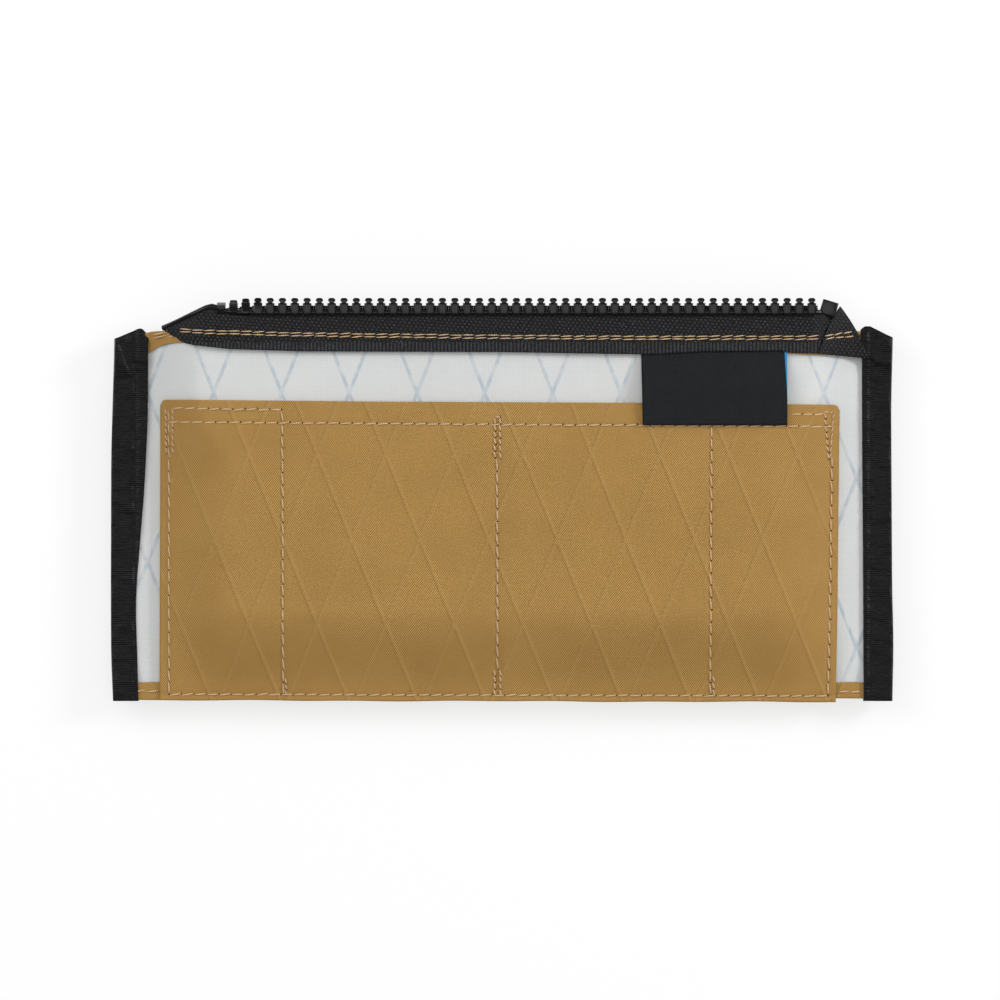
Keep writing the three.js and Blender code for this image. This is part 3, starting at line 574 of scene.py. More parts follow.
def strip_place(v, sections):
    """Maps 0..1 to (y, w) through sections of (share of rows, function of 0..1)."""
    y = np.zeros_like(v)
    w = np.zeros_like(v)
    start = 0.0
    for share, section in sections:
        inside = (v >= start - 1e-6) & (v <= start + share + 1e-6)
        local = np.clip((v - start) / share, 0, 1)
        section_y, section_w = section(local)
        y = np.where(inside, section_y, y)
        w = np.where(inside, section_w, w)
        start += share
    return y, w


def wall_place(side, top_y, height, hem_edge):
    def place(u, v):
        x = mix(FLANGE_LEFT_X + FLANGE_INSET, FLANGE_RIGHT_X - FLANGE_INSET, u)
        top = top_y - line_through(TOP_FOLD_DROP, x) - FOLD - CLOTH / 2
        bottom = BOTTOM_Y + FOLD + CLOTH / 2 + 0.25 * np.sin(x / 11.0)
        raw = BOTTOM_Y + ALLOWANCE + 0.35 * np.sin(x / 3.1) * np.sin(x / 7.7)
        hem = hem_edge(x)
        sections = [
            (0.05, lambda t: (mix(raw, bottom, t), LAYER + 0 * t)),
            (0.05, lambda t: (bottom - FOLD * np.sin(math.pi * t), FOLD + FOLD * np.cos(math.pi * t))),
            (0.80, lambda t: (mix(bottom, top, t), 0 * t)),
            (0.05, lambda t: (top + FOLD * np.sin(math.pi * t), FOLD - FOLD * np.cos(math.pi * t))),
            (0.05, lambda t: (mix(top, hem, t), LAYER + 0 * t)),
        ]
        y, w = strip_place(v, sections)
        return x, y, height(x, y) + side * w

    return place


FLANGE_LEFT_X, FLANGE_RIGHT_X = (corner[0] for corner in node_box("front_wall"))

front_wall_place = wall_place(1, FRONT_TOP_Y, front_height, lambda x: line_through(HEM_EDGE, x))
front_wall = laid_grid("front_wall_cloth", 240, 200, front_wall_place)
finish_piece(front_wall, "pouch", [LINING, WOVEN_WALL])
thicken(front_wall, LAMINATE, two_faced=True)
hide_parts("front_wall")

# %% [markdown]
# The back wall is the same strip with its allowance and hem folded the other way. Its lining also
# faces out, which is down here, so the two materials change places.

# %% Back wall
back_wall_place = wall_place(-1, BACK_TOP_Y, back_height, lambda x: BACK_TOP_Y - HEM_DEPTH + 0 * x)
back_wall = laid_grid("back_wall_cloth", 200, 160, back_wall_place)
finish_piece(back_wall, "pouch", [WOVEN_WALL, LINING])
thicken(back_wall, LAMINATE, two_faced=True)
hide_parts("back_wall")

# %% [markdown]
# The pocket panel lies on the front wall and is sewn through it at its sides, its bottom and
# three dividers, which leaves four pockets. The cloth swells a little between the rows of
# stitches and is drawn in at them, and the bias yarns stand up as ridges under the weave.

# %% Pocket panel
PANEL_LOW, PANEL_HIGH = node_box("pocket_panel")
PANEL_TOP = [(-89.6, 26.5), (-40.0, 26.0), (40.0, 25.6), (88.5, 25.1)]
PANEL_LEFT = [(-52.8, -89.9), (26.0, -89.6)]
PANEL_RIGHT = [(-52.8, 87.7), (10.0, 88.4), (26.0, 88.5)]
PANEL_BOTTOM = [(-90.0, -52.4), (88.0, -52.9)]
DIVIDERS = (-57.5, -1.1, 54.9)
SIDE_ROWS = (-87.4, 85.9)
HEM_ROW = [(-88.2, 20.6), (-1.3, 19.9), (88.0, 19.4)]
BOTTOM_ROW = [(-88.0, -50.8), (87.0, -51.3)]
PANEL_LIFT = 2 * LAYER
CORNER_RADIUS = 1.4
RIDGE = 0.11


def sewn_rows(x, y):
    """Distance in millimetres to the nearest row that holds the panel down."""
    near = np.abs(y - line_through(BOTTOM_ROW, x))
    for row_x in (*DIVIDERS, *SIDE_ROWS):
        near = np.minimum(near, np.abs(x - row_x))
    return near


def panel_height(x, y):
    """Middle of the panel's cloth."""
    pocket = smooth_step(sewn_rows(x, y) / 16.0) * smooth_step((30.0 - y) / 14.0)
    sunk = np.exp(-((sewn_rows(x, y) / 0.8) ** 2))
    hem_sunk = np.exp(-(((y - line_through(HEM_ROW, x)) / 0.7) ** 2))
    ridge = np.exp(-((yarn_distance(x, y, PANEL_YARNS) / 0.45) ** 2))
    edge = np.minimum(x - PANEL_LOW[0], PANEL_HIGH[0] - x)
    flat_edge = smooth_step(edge / 2.5)
    swell = 0.35 * pocket - 0.22 * sunk - 0.12 * hem_sunk + RIDGE * ridge * flat_edge
    return front_height(x, y) + PANEL_LIFT + swell


def corner_cut(from_side, radius):
    """How far a rounded corner is cut back in y at a distance from the side."""
    inside = np.clip(radius - from_side, 0, radius)
    return radius - np.sqrt(np.maximum(radius**2 - inside**2, 0.0))


def panel_place(u, v):
    rough_y = mix(-52.7, 25.6, v)
    left = line_through(PANEL_LEFT, rough_y)
    right = line_through(PANEL_RIGHT, rough_y)
    x = mix(left, right, u)
    top = line_through(PANEL_TOP, x) - corner_cut(np.minimum(x - left, right - x), CORNER_RADIUS)
    bottom = line_through(PANEL_BOTTOM, x) + 0.15 * np.sin(x / 6.0) * np.sin(x / 14.0)
    y = mix(bottom, top, v)
    return x, y, panel_height(x, y)


panel = laid_grid("pocket_panel_cloth", 290, 150, panel_place)
finish_piece(panel, "pouch", [WOVEN])
thicken(panel, 0.36)
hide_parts("pocket_panel")


def panel_hem_place(u, v):
    """The turned-under hem, which joins the panel at its top fold."""
    x = mix(PANEL_LOW[0] + 0.6, PANEL_HIGH[0] + 0.3, u)
    top = line_through(PANEL_TOP, x) - 0.25
    turn = np.clip(v / 0.3, 0, 1) * math.pi
    down = np.clip((v - 0.3) / 0.7, 0, 1)
    y = top - 0.3 + 0.3 * np.sin(turn) - 5.0 * down
    lift = PANEL_LIFT - FOLD + FOLD * np.cos(turn)
    return x, y, front_height(x, y) + lift - 0.05


panel_hem = laid_grid("pocket_panel_hem", 180, 12, panel_hem_place)
finish_piece(panel_hem, "pouch", [WOVEN])
thicken(panel_hem, 0.3)

# %% [markdown]
# The front tape covers the hem's raw edge. Above the fold it stands on past the wall, and at its
# left end it rolls back to the slider, so that its top edge runs down in a slant.

# %% Front zip tape
HINGE_Y = FRONT_TOP_Y + LAYER_GAP
TAPE_LOWER = [  # as (x, y)
    (-86.2, 43.6), (-83.7, 41.5), (-80.6, 40.7), (-71.4, 39.7), (-53.0, 39.1), (-0.5, 38.9), (30.0, 38.4),
    (40.0, 38.3), (52.0, 39.0), (73.0, 39.2), (76.0, 38.7), (90.0, 38.4),
]
TAPE_TOP = [
    (-89.2, 45.2), (-85.8, 46.6), (-81.9, 48.4), (-76.4, 51.0), (-74.6, 50.6), (-72.4, 49.6), (-70.0, 49.3),
    (90.0, 49.3),
]
TAPE_LEFT_X = -88.9
TAPE_RIGHT_X = 89.3
ROLL = [  # how many degrees the tape rolls back at each x
    (-89.0, 40.0), (-82.0, 24.0), (-76.0, 10.0), (-69.5, 8.0), (-60.5, 0.0), (90.0, 0.0)
]


def tape_surface(x, y, offset=0.0):
    """A point on the front tape, off its middle by offset."""
    base = front_height(x, np.minimum(y, HINGE_Y)) + TAPE_LAYER
    beyond = np.maximum(y - HINGE_Y, 0.0)
    return base - beyond * np.tan(np.radians(line_through(ROLL, x))) + offset


def front_tape_place(u, v):
    x = mix(TAPE_LEFT_X, TAPE_RIGHT_X, u)
    low = line_through(TAPE_LOWER, x)
    low = np.where(x < -85.8, line_through([(TAPE_LEFT_X, 45.0), (-85.8, 42.9)], x), low)
    y = mix(low, line_through(TAPE_TOP, x) - 0.4, v)
    ribbed = 0.05 * np.sin(2 * math.pi * x / 0.95) * (y < 41.6)
    return x, y, tape_surface(x, y, ribbed)


front_tape = laid_grid("front_zip_tape", 720, 26, front_tape_place)
finish_piece(front_tape, "pouch", [ZIP_TAPE])
thicken(front_tape, TAPE_WEAVE)
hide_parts("front_zipper_tape")

# %% [markdown]
# At its right end the tape is folded forwards and down, so a slanting flap lies over it. It is a
# sheet of its own here, laid from the fold at the top stop to a point over the binding.

# %% Folded end of the front tape
FLAP_TOP = ((87.0, 48.6), (88.7, 50.9))  # left and right corner
FLAP_LOW = ((82.9, 38.5), (96.2, 37.3))
FLAP_DROP_X = 89.0  # from here the flap comes down on to the binding
FLAP_DROP_LENGTH = 6.0
TAPE_LEVEL_END_X = 91.5


def flap_level(x, y, over_tape, over_wall, over_seam):
    """Height of the flap, or of what lies on it, from what is under it."""
    on_tape = tape_surface(np.minimum(x, TAPE_LEVEL_END_X), y) + over_tape
    on_binding = np.maximum(front_height(x, y) + over_wall, SEAM_HEIGHT + over_seam)
    return mix(on_tape, on_binding, smooth_step((x - FLAP_DROP_X) / FLAP_DROP_LENGTH))


def flap_place(u, v):
    top = [mix(FLAP_TOP[0][i], FLAP_TOP[1][i], u) for i in (0, 1)]
    low = [mix(FLAP_LOW[0][i], FLAP_LOW[1][i], u) for i in (0, 1)]
    x = mix(low[0], top[0], v) + 1.3 * np.sin(math.pi * v) * (u - 0.3)
    y = mix(low[1], top[1], v)
    z = flap_level(x, y, 0.62, 1.9, 2.7)
    return x, y, z + 0.25 * np.sin(math.pi * u) * np.sin(math.pi * v)


flap = laid_grid("front_zip_tape_fold", 50, 50, flap_place)
finish_piece(flap, "pouch", [ZIP_TAPE_BACK])
thicken(flap, TAPE_WEAVE)

# %% [markdown]
# The back tape runs out over its own hem, turns up and stands on edge, with its row of teeth
# pointing up. It hides behind the front tape in the picture and shows in other views.

# %% Back zip tape
BACK_TAPE_LOW, BACK_TAPE_HIGH = node_box("back_zipper_tape")
ROW_LOW, ROW_HIGH = node_box("back_tooth_row")
ROW_Y = (ROW_LOW[1] + ROW_HIGH[1]) / 2
BACK_CORD_Z = ROW_LOW[2] + 0.82
BEND = 0.9  # radius of the turn
TAPE_BELOW_CORD = 0.9


def back_tape_place(u, v):
    x = mix(BACK_TAPE_LOW[0], BACK_TAPE_HIGH[0], u)
    lift = back_height(x, BACK_TOP_Y + 0 * x) - TAPE_LAYER - TAPE / 2
    middle = TAPE / 2
    top = BACK_CORD_Z - TAPE_BELOW_CORD
    bend_y = ROW_Y - BEND
    quarter = math.pi / 2
    sections = [
        (0.5, lambda t: (mix(BACK_TAPE_LOW[1], bend_y, t), middle + 0 * t)),
        (0.2, lambda t: (bend_y + BEND * np.sin(t * quarter), middle + BEND * (1 - np.cos(t * quarter)))),
        (0.3, lambda t: (ROW_Y + 0 * t, mix(middle + BEND, top, t))),
    ]
    y, z = strip_place(v, sections)
    return x, y, z + lift


back_tape = laid_grid("back_zip_tape", 300, 40, back_tape_place)
finish_piece(back_tape, "pouch", [ZIP_TAPE])
thicken(back_tape, TAPE_WEAVE)
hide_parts("back_zipper_tape")

# %% [markdown]
# One tooth is a grid extruded to a block. Its rows of points are set to widths that give the grip
# on the tape, the body, the narrow neck and the flared head, and a cube is joined on as wings. It
# could be a lathe or a sculpt, but a table of widths is exact, and one tooth serves both rows.

# %% One moulded tooth
TOOTH_ROWS = [  # distance from the cord's axis, half width, half thickness
    (-0.82, 1.0, 1.05),
    (-0.1, 1.08, 1.2),
    (0.9, 1.12, 1.2),
    (1.55, 1.02, 1.2),
    (2.1, 1.16, 1.18),
    (2.36, 1.12, 1.08),
    (2.46, 0.6, 1.0),
    (2.6, 0.55, 0.98),
    (2.88, 0.84, 0.98),
    (3.2, 0.98, 0.94),
    (3.5, 0.86, 0.86),
    (3.76, 0.46, 0.72),
]
WING = (1.6, 0.1, 1.8, -1.0, -0.15)  # half width, then its ends along the tooth and through it


def make_tooth():
    bpy.ops.object.select_all(action="DESELECT")
    bpy.ops.mesh.primitive_grid_add(x_subdivisions=4, y_subdivisions=len(TOOTH_ROWS) - 1, size=2)
    piece = bpy.context.object
    bpy.ops.object.mode_set(mode="EDIT")
    bpy.ops.mesh.select_all(action="SELECT")
    bpy.ops.mesh.extrude_region_move(TRANSFORM_OT_translate={"value": (0, 0, 2)})
    bpy.ops.mesh.select_all(action="SELECT")
    bpy.ops.mesh.normals_make_consistent(inside=False)
    bpy.ops.object.mode_set(mode="OBJECT")
    last = len(TOOTH_ROWS) - 1
    for vertex in piece.data.vertices:
        row = round((vertex.co.y + 1) / 2 * last)
        distance, half_width, half_thickness = TOOTH_ROWS[row]
        vertex.co = (vertex.co.x * half_width, distance, (vertex.co.z - 1) * half_thickness)
    half_width, near, far, low, high = WING
    bpy.ops.mesh.primitive_cube_add(size=1, location=(0, (near + far) / 2, (low + high) / 2))
    wing = bpy.context.object
    bpy.ops.transform.resize(value=(2 * half_width, far - near, high - low))
    bpy.ops.object.transform_apply(location=True, rotation=False, scale=True)
    select_only(piece)
    wing.select_set(True)
    bpy.ops.object.join()
    rounding = piece.modifiers.new("rounding", "BEVEL")
    rounding.width = 0.16
    rounding.segments = 1
    rounding.limit_method = "ANGLE"
    rounding.angle_limit = math.radians(50)
    apply_modifiers(piece)
    return piece


def mesh_arrays(piece):
    points = np.array([v.co[:] for v in piece.data.vertices])
    faces = [tuple(p.vertices) for p in piece.data.polygons]
    return points, faces


def copies(name, points, faces, places):
    """One mesh of many copies, each placed by a 4 x 4 matrix in millimetres."""
    all_points = []
    all_faces = []
    for matrix in places:
        start = len(all_points) * len(points)
        matrix = np.array(matrix)
        all_points.append(points @ matrix[:3, :3].T + matrix[:3, 3])
        all_faces.extend(tuple(i + start for i in face) for face in faces)
    mesh = bpy.data.meshes.new(name)
    mesh.from_pydata((np.concatenate(all_points) * MM).tolist(), [], all_faces)
    mesh.update()
    piece = bpy.data.objects.new(name, mesh)
    bpy.context.collection.objects.link(piece)
    piece.data.shade_smooth()
    return piece


tooth = make_tooth()
TOOTH_POINTS, TOOTH_FACES = mesh_arrays(tooth)
bpy.data.objects.remove(tooth)
print("faces in a tooth:", len(TOOTH_FACES))

# %% [markdown]
# The front row stands along the top edge of its tape. Its first teeth lean back towards the
# slider. Its cord is a tube bent along the same line.

# %% Front row of teeth
TOOTH_PITCH = 3.22
FRONT_TEETH = 49
BACK_TEETH = 48
FIRST_TOOTH_X = -73.5
TOOTH_LEAN = [  # how many degrees a tooth leans back at each x
    (-73.5, 72.0), (-70.3, 42.0), (-67.0, 25.0), (-63.8, 10.0), (-60.6, 0.0), (90.0, 0.0)
]


def frame_matrix(position, x_axis, y_axis):
    x_axis = Vector(x_axis).normalized()
    z_axis = x_axis.cross(Vector(y_axis)).normalized()
    y_axis = z_axis.cross(x_axis)
    matrix = Matrix((x_axis, y_axis, z_axis)).transposed().to_4x4()
    matrix.translation = Vector(position)
    return matrix


def cord_line(x):
    """y and z of the front cord, which runs in the tape's top edge."""
    y = line_through(TAPE_TOP, x)
    return y, tape_surface(x, y)


def front_tooth_place(x):
    y, z = (float(value) for value in cord_line(np.array(x)))
    lean = math.radians(float(line_through(TOOTH_LEAN, x)))
    return frame_matrix((x, y, z), (1, 0, 0), (0, math.cos(lean), -math.sin(lean)))


def tube(name, points, radius, sides=10):
    """A closed tube along a list of points, as a mesh."""
    curve = bpy.data.curves.new(name, "CURVE")
    curve.dimensions = "3D"
    curve.bevel_depth = radius * MM
    curve.bevel_resolution = sides // 4
    curve.use_fill_caps = True
    spline = curve.splines.new("POLY")
    spline.points.add(len(points) - 1)
    for point, place in zip(spline.points, points):
        point.co = (*(np.array(place) * MM), 1.0)
    piece = bpy.data.objects.new(name, curve)
    bpy.context.collection.objects.link(piece)
    select_only(piece)
    bpy.ops.object.convert(target="MESH")
    piece = bpy.context.object
    piece.data.shade_smooth()
    return piece


front_teeth = copies(
    "front_teeth",
    TOOTH_POINTS,
    TOOTH_FACES,
    [front_tooth_place(FIRST_TOOTH_X + i * TOOTH_PITCH) for i in range(FRONT_TEETH)],
)
finish_piece(front_teeth, "pouch", [TEETH])
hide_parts("front_tooth_row")

cord_x = np.linspace(-89.0, 83.4, 120)
cord_y, cord_z = cord_line(cord_x)
front_cord = tube("front_cord", list(zip(cord_x, cord_y, cord_z)), 0.72)
finish_piece(front_cord, "pouch", [TEETH])

# %% [markdown]
# The back row has one tooth fewer and stands half a pitch along, so that the rows would mesh. Its
# teeth point straight up, and its cord is straight, because the back tape stands on edge.

# %% Back row of teeth
back_places = [
    frame_matrix((FIRST_TOOTH_X + (i + 0.5) * TOOTH_PITCH, ROW_Y, BACK_CORD_Z), (1, 0, 0), (0, 0, 1))
    for i in range(BACK_TEETH)
]
back_teeth = copies("back_teeth", TOOTH_POINTS, TOOTH_FACES, back_places)
finish_piece(back_teeth, "pouch", [TEETH])
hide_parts("back_tooth_row")
back_cord = tube("back_cord", [(ROW_LOW[0], ROW_Y, BACK_CORD_Z), (ROW_HIGH[0], ROW_Y, BACK_CORD_Z)], 0.7)
finish_piece(back_cord, "pouch", [TEETH])

# %% [markdown]
# The slider, its pull and the three stops have their true form in the frame. A copy of each is
# cleaned of its loose triangles and its edges are rounded, as casting and moulding leave them.

# %% Slider, pull and stops
def rounded_copy(name, new_name, width, material, body):
    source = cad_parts[name]
    piece = source.copy()
    piece.data = source.data.copy()
    piece.name = new_name
    piece.data.materials.clear()
    piece.parent = None
    for key in list(piece.keys()):
        del piece[key]
    bpy.context.collection.objects.link(piece)
    select_only(piece)
    bpy.ops.object.mode_set(mode="EDIT")
    bpy.ops.mesh.select_all(action="SELECT")
    bpy.ops.mesh.remove_doubles(threshold=1e-6)
    bpy.ops.mesh.dissolve_limited(angle_limit=math.radians(2))
    bpy.ops.object.mode_set(mode="OBJECT")
    rounding = piece.modifiers.new("rounding", "BEVEL")
    rounding.width = width * MM
    rounding.segments = 2
    rounding.limit_method = "ANGLE"
    rounding.angle_limit = math.radians(35)
    apply_modifiers(piece)
    bpy.ops.object.shade_smooth_by_angle(angle=math.radians(40))
    finish_piece(piece, body, [material])
    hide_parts(name)
    return piece


rounded_copy("slider_body", "slider_casting", 0.16, METAL, "slider")
rounded_copy("pull_tab", "pull_casting", 0.2, METAL, "pull")
front_stop = rounded_copy("front_top_stop", "front_stop_block", 0.12, TEETH, "pouch")
for vertex in front_stop.data.vertices:  # it is pressed on to the tape's edge
    vertex.co += Vector((-0.1, -0.8, 0.0)) * MM
rounded_copy("back_top_stop", "back_stop_block", 0.12, TEETH, "pouch")
rounded_copy("bottom_stop", "bottom_stop_block", 0.12, TEETH, "pouch")

# %% [markdown]
# The label is a loop of woven tape, folded at its lower edge and caught under the zip tape. The
# front layer hangs free, with a slight curl.

# %% Woven label
LABEL_BOTTOM_Y = LABEL_LOW[1] - 0.6  # it hangs a little lower than the stiff one
LABEL_CLOTH = 0.3


def label_place(u, v):
    fold = 0.32
    low = LABEL_BOTTOM_Y + fold
    back = 2 * LAYER + CLOTH / 2 + 0.4
    front = back + 2 * fold
    sections = [
        (0.44, lambda t: (mix(38.6, low, t), mix(0.65, back, smooth_step(t * 1.9)))),
        (0.12, lambda t: (low - fold * np.sin(t * math.pi), back + fold * (1 - np.cos(t * math.pi)))),
        (0.44, lambda t: (mix(low, 39.4, t), mix(front, 1.15, smooth_step((t - 0.45) / 0.5)))),
    ]
    y, w = strip_place(v, sections)
    lean = 0.35 * (20.5 - y) / 17.0 * (1 - u)
    x = mix(LABEL_LEFT_X, LABEL_RIGHT_X, u) + lean + 0.25 * u
    curl = 0.25 * (2 * u - 1) ** 2 * smooth_step((38.0 - y) / 10.0)
    return x, y, front_height(x, y) + w + curl


label = laid_grid("label_loop", 60, 90, label_place)
finish_piece(label, "pouch", [LABEL])
thicken(label, LABEL_CLOTH)
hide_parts("woven_label")

# %% [markdown]
# Each binding is a tape folded round the seam allowances and sewn. Its section is a flat U. The
# row of stitches draws it in along one line, the cloth wrinkles across it, and its top end is
# turned in at a slant, with a crease where the fold ends.

# %% Side bindings
LEFT_INNER = [  # sides as (y, x)
    (-52.6, -95.5), (-46.0, -95.7), (-36.5, -96.0), (-26.0, -96.3), (-20.7, -95.9), (0.3, -94.0),
    (21.3, -93.0), (46.0, -92.9),
]
RIGHT_INNER = [(-52.6, 95.0), (-20.0, 94.9), (20.0, 94.6), (38.0, 94.6), (46.0, 94.1)]
LEFT_OUTER = [(-52.6, -101.9), (-44.0, -102.5), (-26.0, -102.6), (13.4, -102.5), (43.0, -101.6)]
RIGHT_OUTER = [(-52.8, 102.4), (-36.5, 102.8), (-26.0, 102.4), (26.5, 102.1), (43.0, 102.6)]
LEFT_TOP = [  # ends as (x, y)
    (-102.4, 42.2), (-95.4, 45.2), (-94.6, 45.2), (-92.9, 43.4)
]
RIGHT_TOP = [(94.0, 44.3), (94.6, 45.2), (95.4, 45.8), (96.8, 45.8), (102.7, 42.8)]
BINDING_BOTTOM = -52.6
FOLD_SHARE = 0.12  # of each half of the tape, taken by the round fold
FOLD_DEPTH = 0.05  # of the binding's width, taken by it
LEFT_ROW_X = -96.3  # the rows of stitches
RIGHT_ROW_X = 96.9


def smooth_line(knots, y):
    """The line through the knots, with its corners rounded over a few millimetres."""
    return sum(line_through(knots, y + step) for step in (-6.0, -3.0, 0.0, 3.0, 6.0)) / 5


def binding_place(inner_line, outer_line, top_line, groove_x, crease):
    def place(u, v):
        around = 2 * u - 1  # -1 at the lower inner edge, 0 at the outer edge, 1 at the upper one
        inward = np.abs(around) ** 0.92
        y0 = mix(BINDING_BOTTOM, 43.0, v)
        outer = smooth_line(outer_line, y0)
        inner = smooth_line(inner_line, y0)
        turn = np.clip(inward / FOLD_SHARE, 0, 1) * math.pi / 2
        on_fold = (1 - np.cos(turn)) * FOLD_DEPTH
        on_flat = mix(FOLD_DEPTH, 1.0, (inward - FOLD_SHARE) / (1 - FOLD_SHARE))
        x = mix(outer, inner, np.where(inward < FOLD_SHARE, on_fold, on_flat))
        top = line_through(top_line, x)
        y = mix(BINDING_BOTTOM, top, v)
        hem = smooth_step((y - 33.0) / 5.0)
        allowance = smooth_step((-42.5 - y) / 5.0)
        half = 1.1 + LAYER * np.maximum(hem, allowance)
        closing = smooth_step((top - y) / 2.2)
        half = half * (0.35 + 0.65 * closing)
        z = half * np.sin(turn) * np.sign(around)
        groove = np.exp(-(((x - groove_x) / 0.8) ** 2))
        wrinkle = 0.14 * np.sin(y / 1.15 + 2.0 * np.sin(y / 6.1)) * np.sin(x / 1.9 + y / 5.0)
        wrinkle += 0.1 * np.sin(y / 2.7 + x / 1.3 + 1.5)
        wrinkle *= 0.3 + 0.9 * smooth_step(np.sign(groove_x) * (x - groove_x))
        crease_x = line_through(crease, y)
        outside_crease = np.sign(groove_x) * (x - crease_x)
        folded = smooth_step(outside_crease / 0.7) * smooth_step((y - crease[0][0]) / 3.0) * 0.55
        top_side = around > 0
        relief = wrinkle * closing - 0.34 * groove + folded * top_side
        return x, y, SEAM_HEIGHT + z + np.sign(around) * relief * (inward > 0.1)

    return place


def side_binding(name, node_name, place):
    piece = laid_grid(name, 60, 260, place)
    finish_piece(piece, "pouch", [BINDING])
    thicken(piece, 0.45)
    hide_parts(node_name)


LEFT_CREASE = [(31.0, -96.6), (41.5, -100.6), (46.0, -102.5)]
RIGHT_CREASE = [(34.0, 96.8), (42.0, 100.0), (46.0, 101.5)]
left_place = binding_place(LEFT_INNER, LEFT_OUTER, LEFT_TOP, LEFT_ROW_X, LEFT_CREASE)
right_place = binding_place(RIGHT_INNER, RIGHT_OUTER, RIGHT_TOP, RIGHT_ROW_X, RIGHT_CREASE)
side_binding("left_binding_tape", "left_binding", left_place)
side_binding("right_binding_tape", "right_binding", right_place)

# %% [markdown]
# Each stitch is a short bent length of thread whose ends dive into the cloth. One is shaped from
# a sphere, and a row is copies of it, a stitch length apart, with small seeded differences.

# %% One stitch
STITCH_LENGTH = 3.25
THREAD_RADIUS = 0.2


def make_stitch():
    bpy.ops.object.select_all(action="DESELECT")
    bpy.ops.mesh.primitive_uv_sphere_add(segments=8, ring_count=7, radius=1.0, rotation=(0, math.pi / 2, 0))
    piece = bpy.context.object
    bpy.ops.object.transform_apply(location=False, rotation=True, scale=False)
    for vertex in piece.data.vertices:
        along = vertex.co.x
        bend = -0.26 * along**4
        radius = THREAD_RADIUS * (0.85 + 0.3 * (1 - along**2))
        vertex.co = (along * 0.5, vertex.co.y * radius, vertex.co.z * radius + bend)
    return piece


stitch = make_stitch()
STITCH_POINTS, STITCH_FACES = mesh_arrays(stitch)
bpy.data.objects.remove(stitch)
random = np.random.default_rng(7)


def stitch_row(points, surface, length=STITCH_LENGTH, slant=6.0, lift=0.22, thickness=1.0):
    """Matrices of stitches along a line of (x, y) points, lying on surface(x, y)."""
    points = np.array(points, float)
    steps = np.hypot(*np.diff(points, axis=0).T)
    total = steps.sum()
    travelled = np.concatenate([[0], np.cumsum(steps)])
    count = max(1, round(total / length))
    places = []
    for i in range(count):
        middle = (i + 0.5) / count * total
        half = 0.5 * total / count
        ends = []
        for distance in (middle - half, middle + half):
            ends.append([np.interp(distance, travelled, points[:, k]) for k in (0, 1)])
        (x0, y0), (x1, y1) = ends
        z0 = float(surface(np.array(x0), np.array(y0)))
        z1 = float(surface(np.array(x1), np.array(y1)))
        direction = Vector((x1 - x0, y1 - y0, z1 - z0))
        turn = Matrix.Rotation(math.radians(slant + random.uniform(-4, 4)), 3, "Z")
        side = turn @ direction
        centre = ((x0 + x1) / 2 + random.uniform(-0.05, 0.05), (y0 + y1) / 2 + random.uniform(-0.06, 0.06),
                  (z0 + z1) / 2 + lift)
        matrix = frame_matrix(centre, side, Vector((0, 0, 1)).cross(side))
        stretch = Matrix.Diagonal((direction.length, thickness, thickness, 1))
        places.append(matrix @ stretch)
    return places


def stitches(name, places):
    piece = copies(name, STITCH_POINTS, STITCH_FACES, places)
    finish_piece(piece, "pouch", [THREAD])
    print(name, "has", len(places), "stitches")


print("faces in a stitch:", len(STITCH_FACES))


# %% [markdown]
# The needle leaves a small hole at the end of each stitch. A flattened dark sphere sits there as painted
# shade in the hole.

# %% Needle holes
def make_hole():
    bpy.ops.object.select_all(action="DESELECT")
    bpy.ops.mesh.primitive_uv_sphere_add(segments=8, ring_count=4, radius=1.0)
    piece = bpy.context.object
    for vertex in piece.data.vertices:
        vertex.co = (vertex.co.x * 0.24, vertex.co.y * 0.3, vertex.co.z * 0.07)
    return piece


hole = make_hole()
HOLE_POINTS, HOLE_FACES = mesh_arrays(hole)
bpy.data.objects.remove(hole)
# Painted shade: the dark brown stands for the shade inside each needle hole.
HOLE_SHADE, _, hole_shader = new_material("painted needle hole shade", Roughness=0.9, Specular_IOR_Level=0.1)
hole_shader.inputs["Base Color"].default_value = srgb("#4a3213")


def needle_holes(name, places):
    at_ends = []
    for place in places:
        turned = place.to_quaternion().to_matrix().to_4x4()
        turned.translation = place @ Vector((0.5, 0, -0.2))
        at_ends.append(turned)
    piece = copies(name, HOLE_POINTS, HOLE_FACES, at_ends)
    finish_piece(piece, "pouch", [HOLE_SHADE])


# %% [markdown]
# The panel's rows: one along its hem, short ones above it at the two corners, the sides, the
# bottom and the three dividers, with the back-stitched ends the real one has.

# %% Panel stitching
def panel_face(x, y):
    return panel_height(x, y) + 0.18


def upright(x, y0, y1):
    return [(x, y0), (x, y1)]


LONG_ROWS = (
    [(x, line_through(HEM_ROW, x)) for x in (-87.9, -30.0, -1.3, 40.0, 87.4)],
    [(-86.6, 24.3), (-72.0, 23.9), (-57.5, 23.8)],
    [(75.6, 22.6), (84.6, 22.7)],
    upright(-87.4, 24.0, -50.8),
    [(86.6, 12.0), (86.1, -20.0), (85.6, -51.0)],
    [(-87.4, -50.8), (0.0, -51.1), (85.6, -51.3)],
    [(-57.5, 23.6), (-57.3, -20.0), (-57.4, -51.0)],
    [(-1.3, 11.0), (-1.2, -20.0), (-1.2, -44.4)],
    [(54.9, 19.6), (54.6, -20.0), (54.7, -51.0)],
)
panel_rows = []
for row in LONG_ROWS:
    panel_rows += stitch_row(row, panel_face)
for x, top, bottom in ((-1.9, 21.8, 11.2), (-0.5, 21.8, 11.0), (-1.9, -44.4, -51.2), (-0.4, -44.4, -51.2),
                       (-88.1, 24.2, 12.4), (-86.3, 24.2, 12.3), (55.6, -46.0, -51.2), (-56.7, -46.5, -51.2)):
    panel_rows += stitch_row(upright(x, top, bottom), panel_face, length=1.7, slant=16.0)
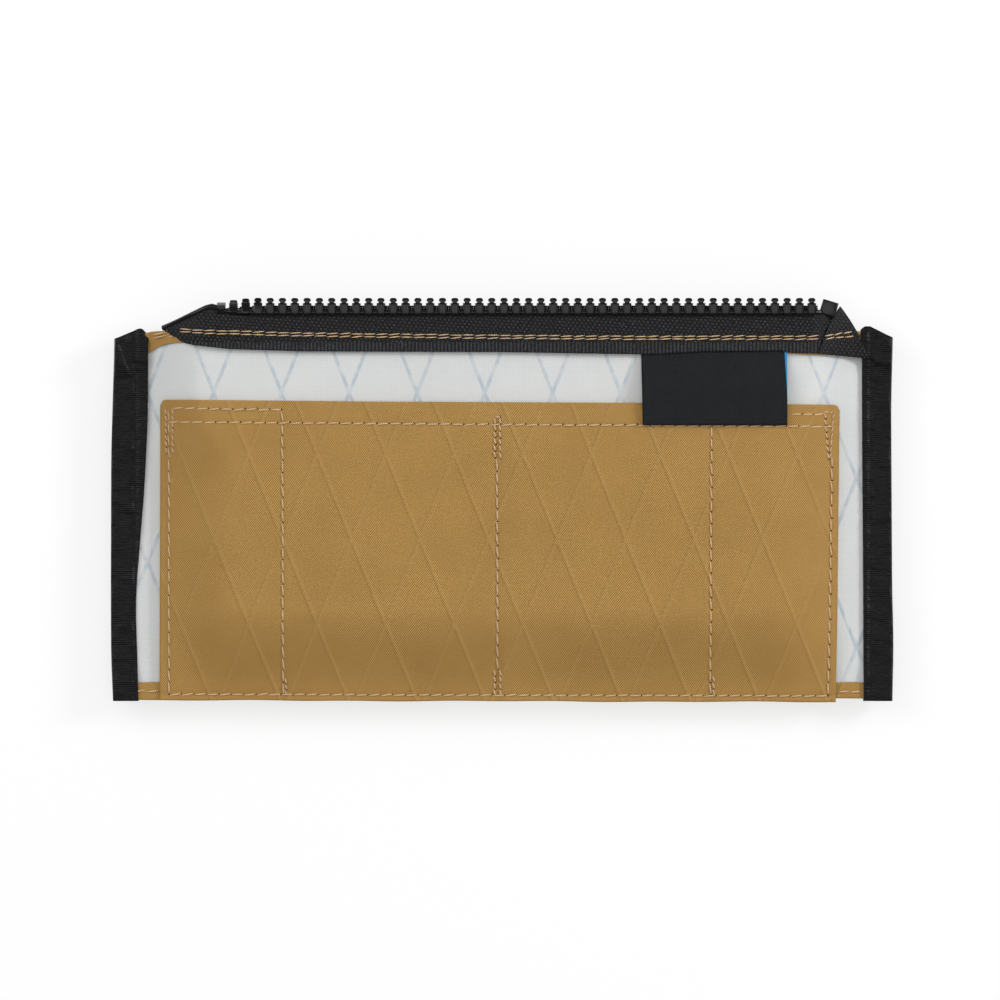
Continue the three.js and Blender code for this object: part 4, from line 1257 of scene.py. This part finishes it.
panel_rows += stitch_row([(84.5, 23.2), (85.6, 10.8)], panel_face, length=1.7, slant=16.0)
panel_rows += stitch_row([(86.9, 23.0), (86.0, 10.8)], panel_face, length=1.7, slant=-16.0)
panel_rows += stitch_row([(-1.9, 21.9), (-0.4, 21.9)], panel_face, length=1.5)
panel_rows += stitch_row([(84.5, 23.3), (87.0, 23.1)], panel_face, length=1.4)
stitches("panel_stitching", panel_rows)
needle_holes("panel_needle_hole_shade", panel_rows)

# %% [markdown]
# The tape is held by two rows close together. They run on over the brown hem at the left end
# and cross the folded end of the tape at the right one.

# %% Tape and allowance stitching
UPPER_ROW = [
    (-84.5, 45.1), (-80.9, 44.65), (-71.6, 44.4), (-58.1, 44.0), (-42.5, 43.75), (-7.0, 43.3),
    (32.8, 43.0), (83.0, 43.05),
]
ROWS_APART = 0.74
LOWER_ROW = [(x, y - ROWS_APART) for x, y in UPPER_ROW]


def tape_face(x, y):
    return tape_surface(x, y) + 0.22


def hem_face(x, y):
    return front_height(x, y) + LAYER + 0.18


def flap_face(x, y):
    return flap_level(x, y, 0.95, 2.2, 3.0)


tape_rows = stitch_row(UPPER_ROW, tape_face, slant=4.0, thickness=0.72)
tape_rows += stitch_row(LOWER_ROW, tape_face, slant=4.0, thickness=0.72)
tape_rows += stitch_row([(-92.0, 43.7), (-84.2, 44.3)], hem_face)
tape_rows += stitch_row([(-92.0, 42.8), (-84.0, 43.4)], hem_face)
tape_rows += stitch_row([(84.6, 43.2), (92.0, 44.4)], flap_face, length=2.4, thickness=0.8)
tape_rows += stitch_row([(84.8, 42.5), (92.5, 43.2)], flap_face, length=2.4, thickness=0.8)
stitches("tape_stitching", tape_rows)

allowance_rows = stitch_row([(-101.0, -50.0), (-89.9, -50.0)], hem_face)
allowance_rows += stitch_row([(88.2, -50.1), (101.0, -50.3)], hem_face)
stitches("allowance_stitching", allowance_rows)


def back_hem_face(x, y):
    return back_height(x, y) - TAPE_LAYER - 0.22


back_rows = stitch_row([(-83.0, 42.0), (83.0, 42.0)], back_hem_face, lift=0.12, thickness=0.5)
back_rows += stitch_row([(-83.0, 41.1), (83.0, 41.1)], back_hem_face, lift=0.12, thickness=0.5)
stitches("back_tape_stitching", back_rows)
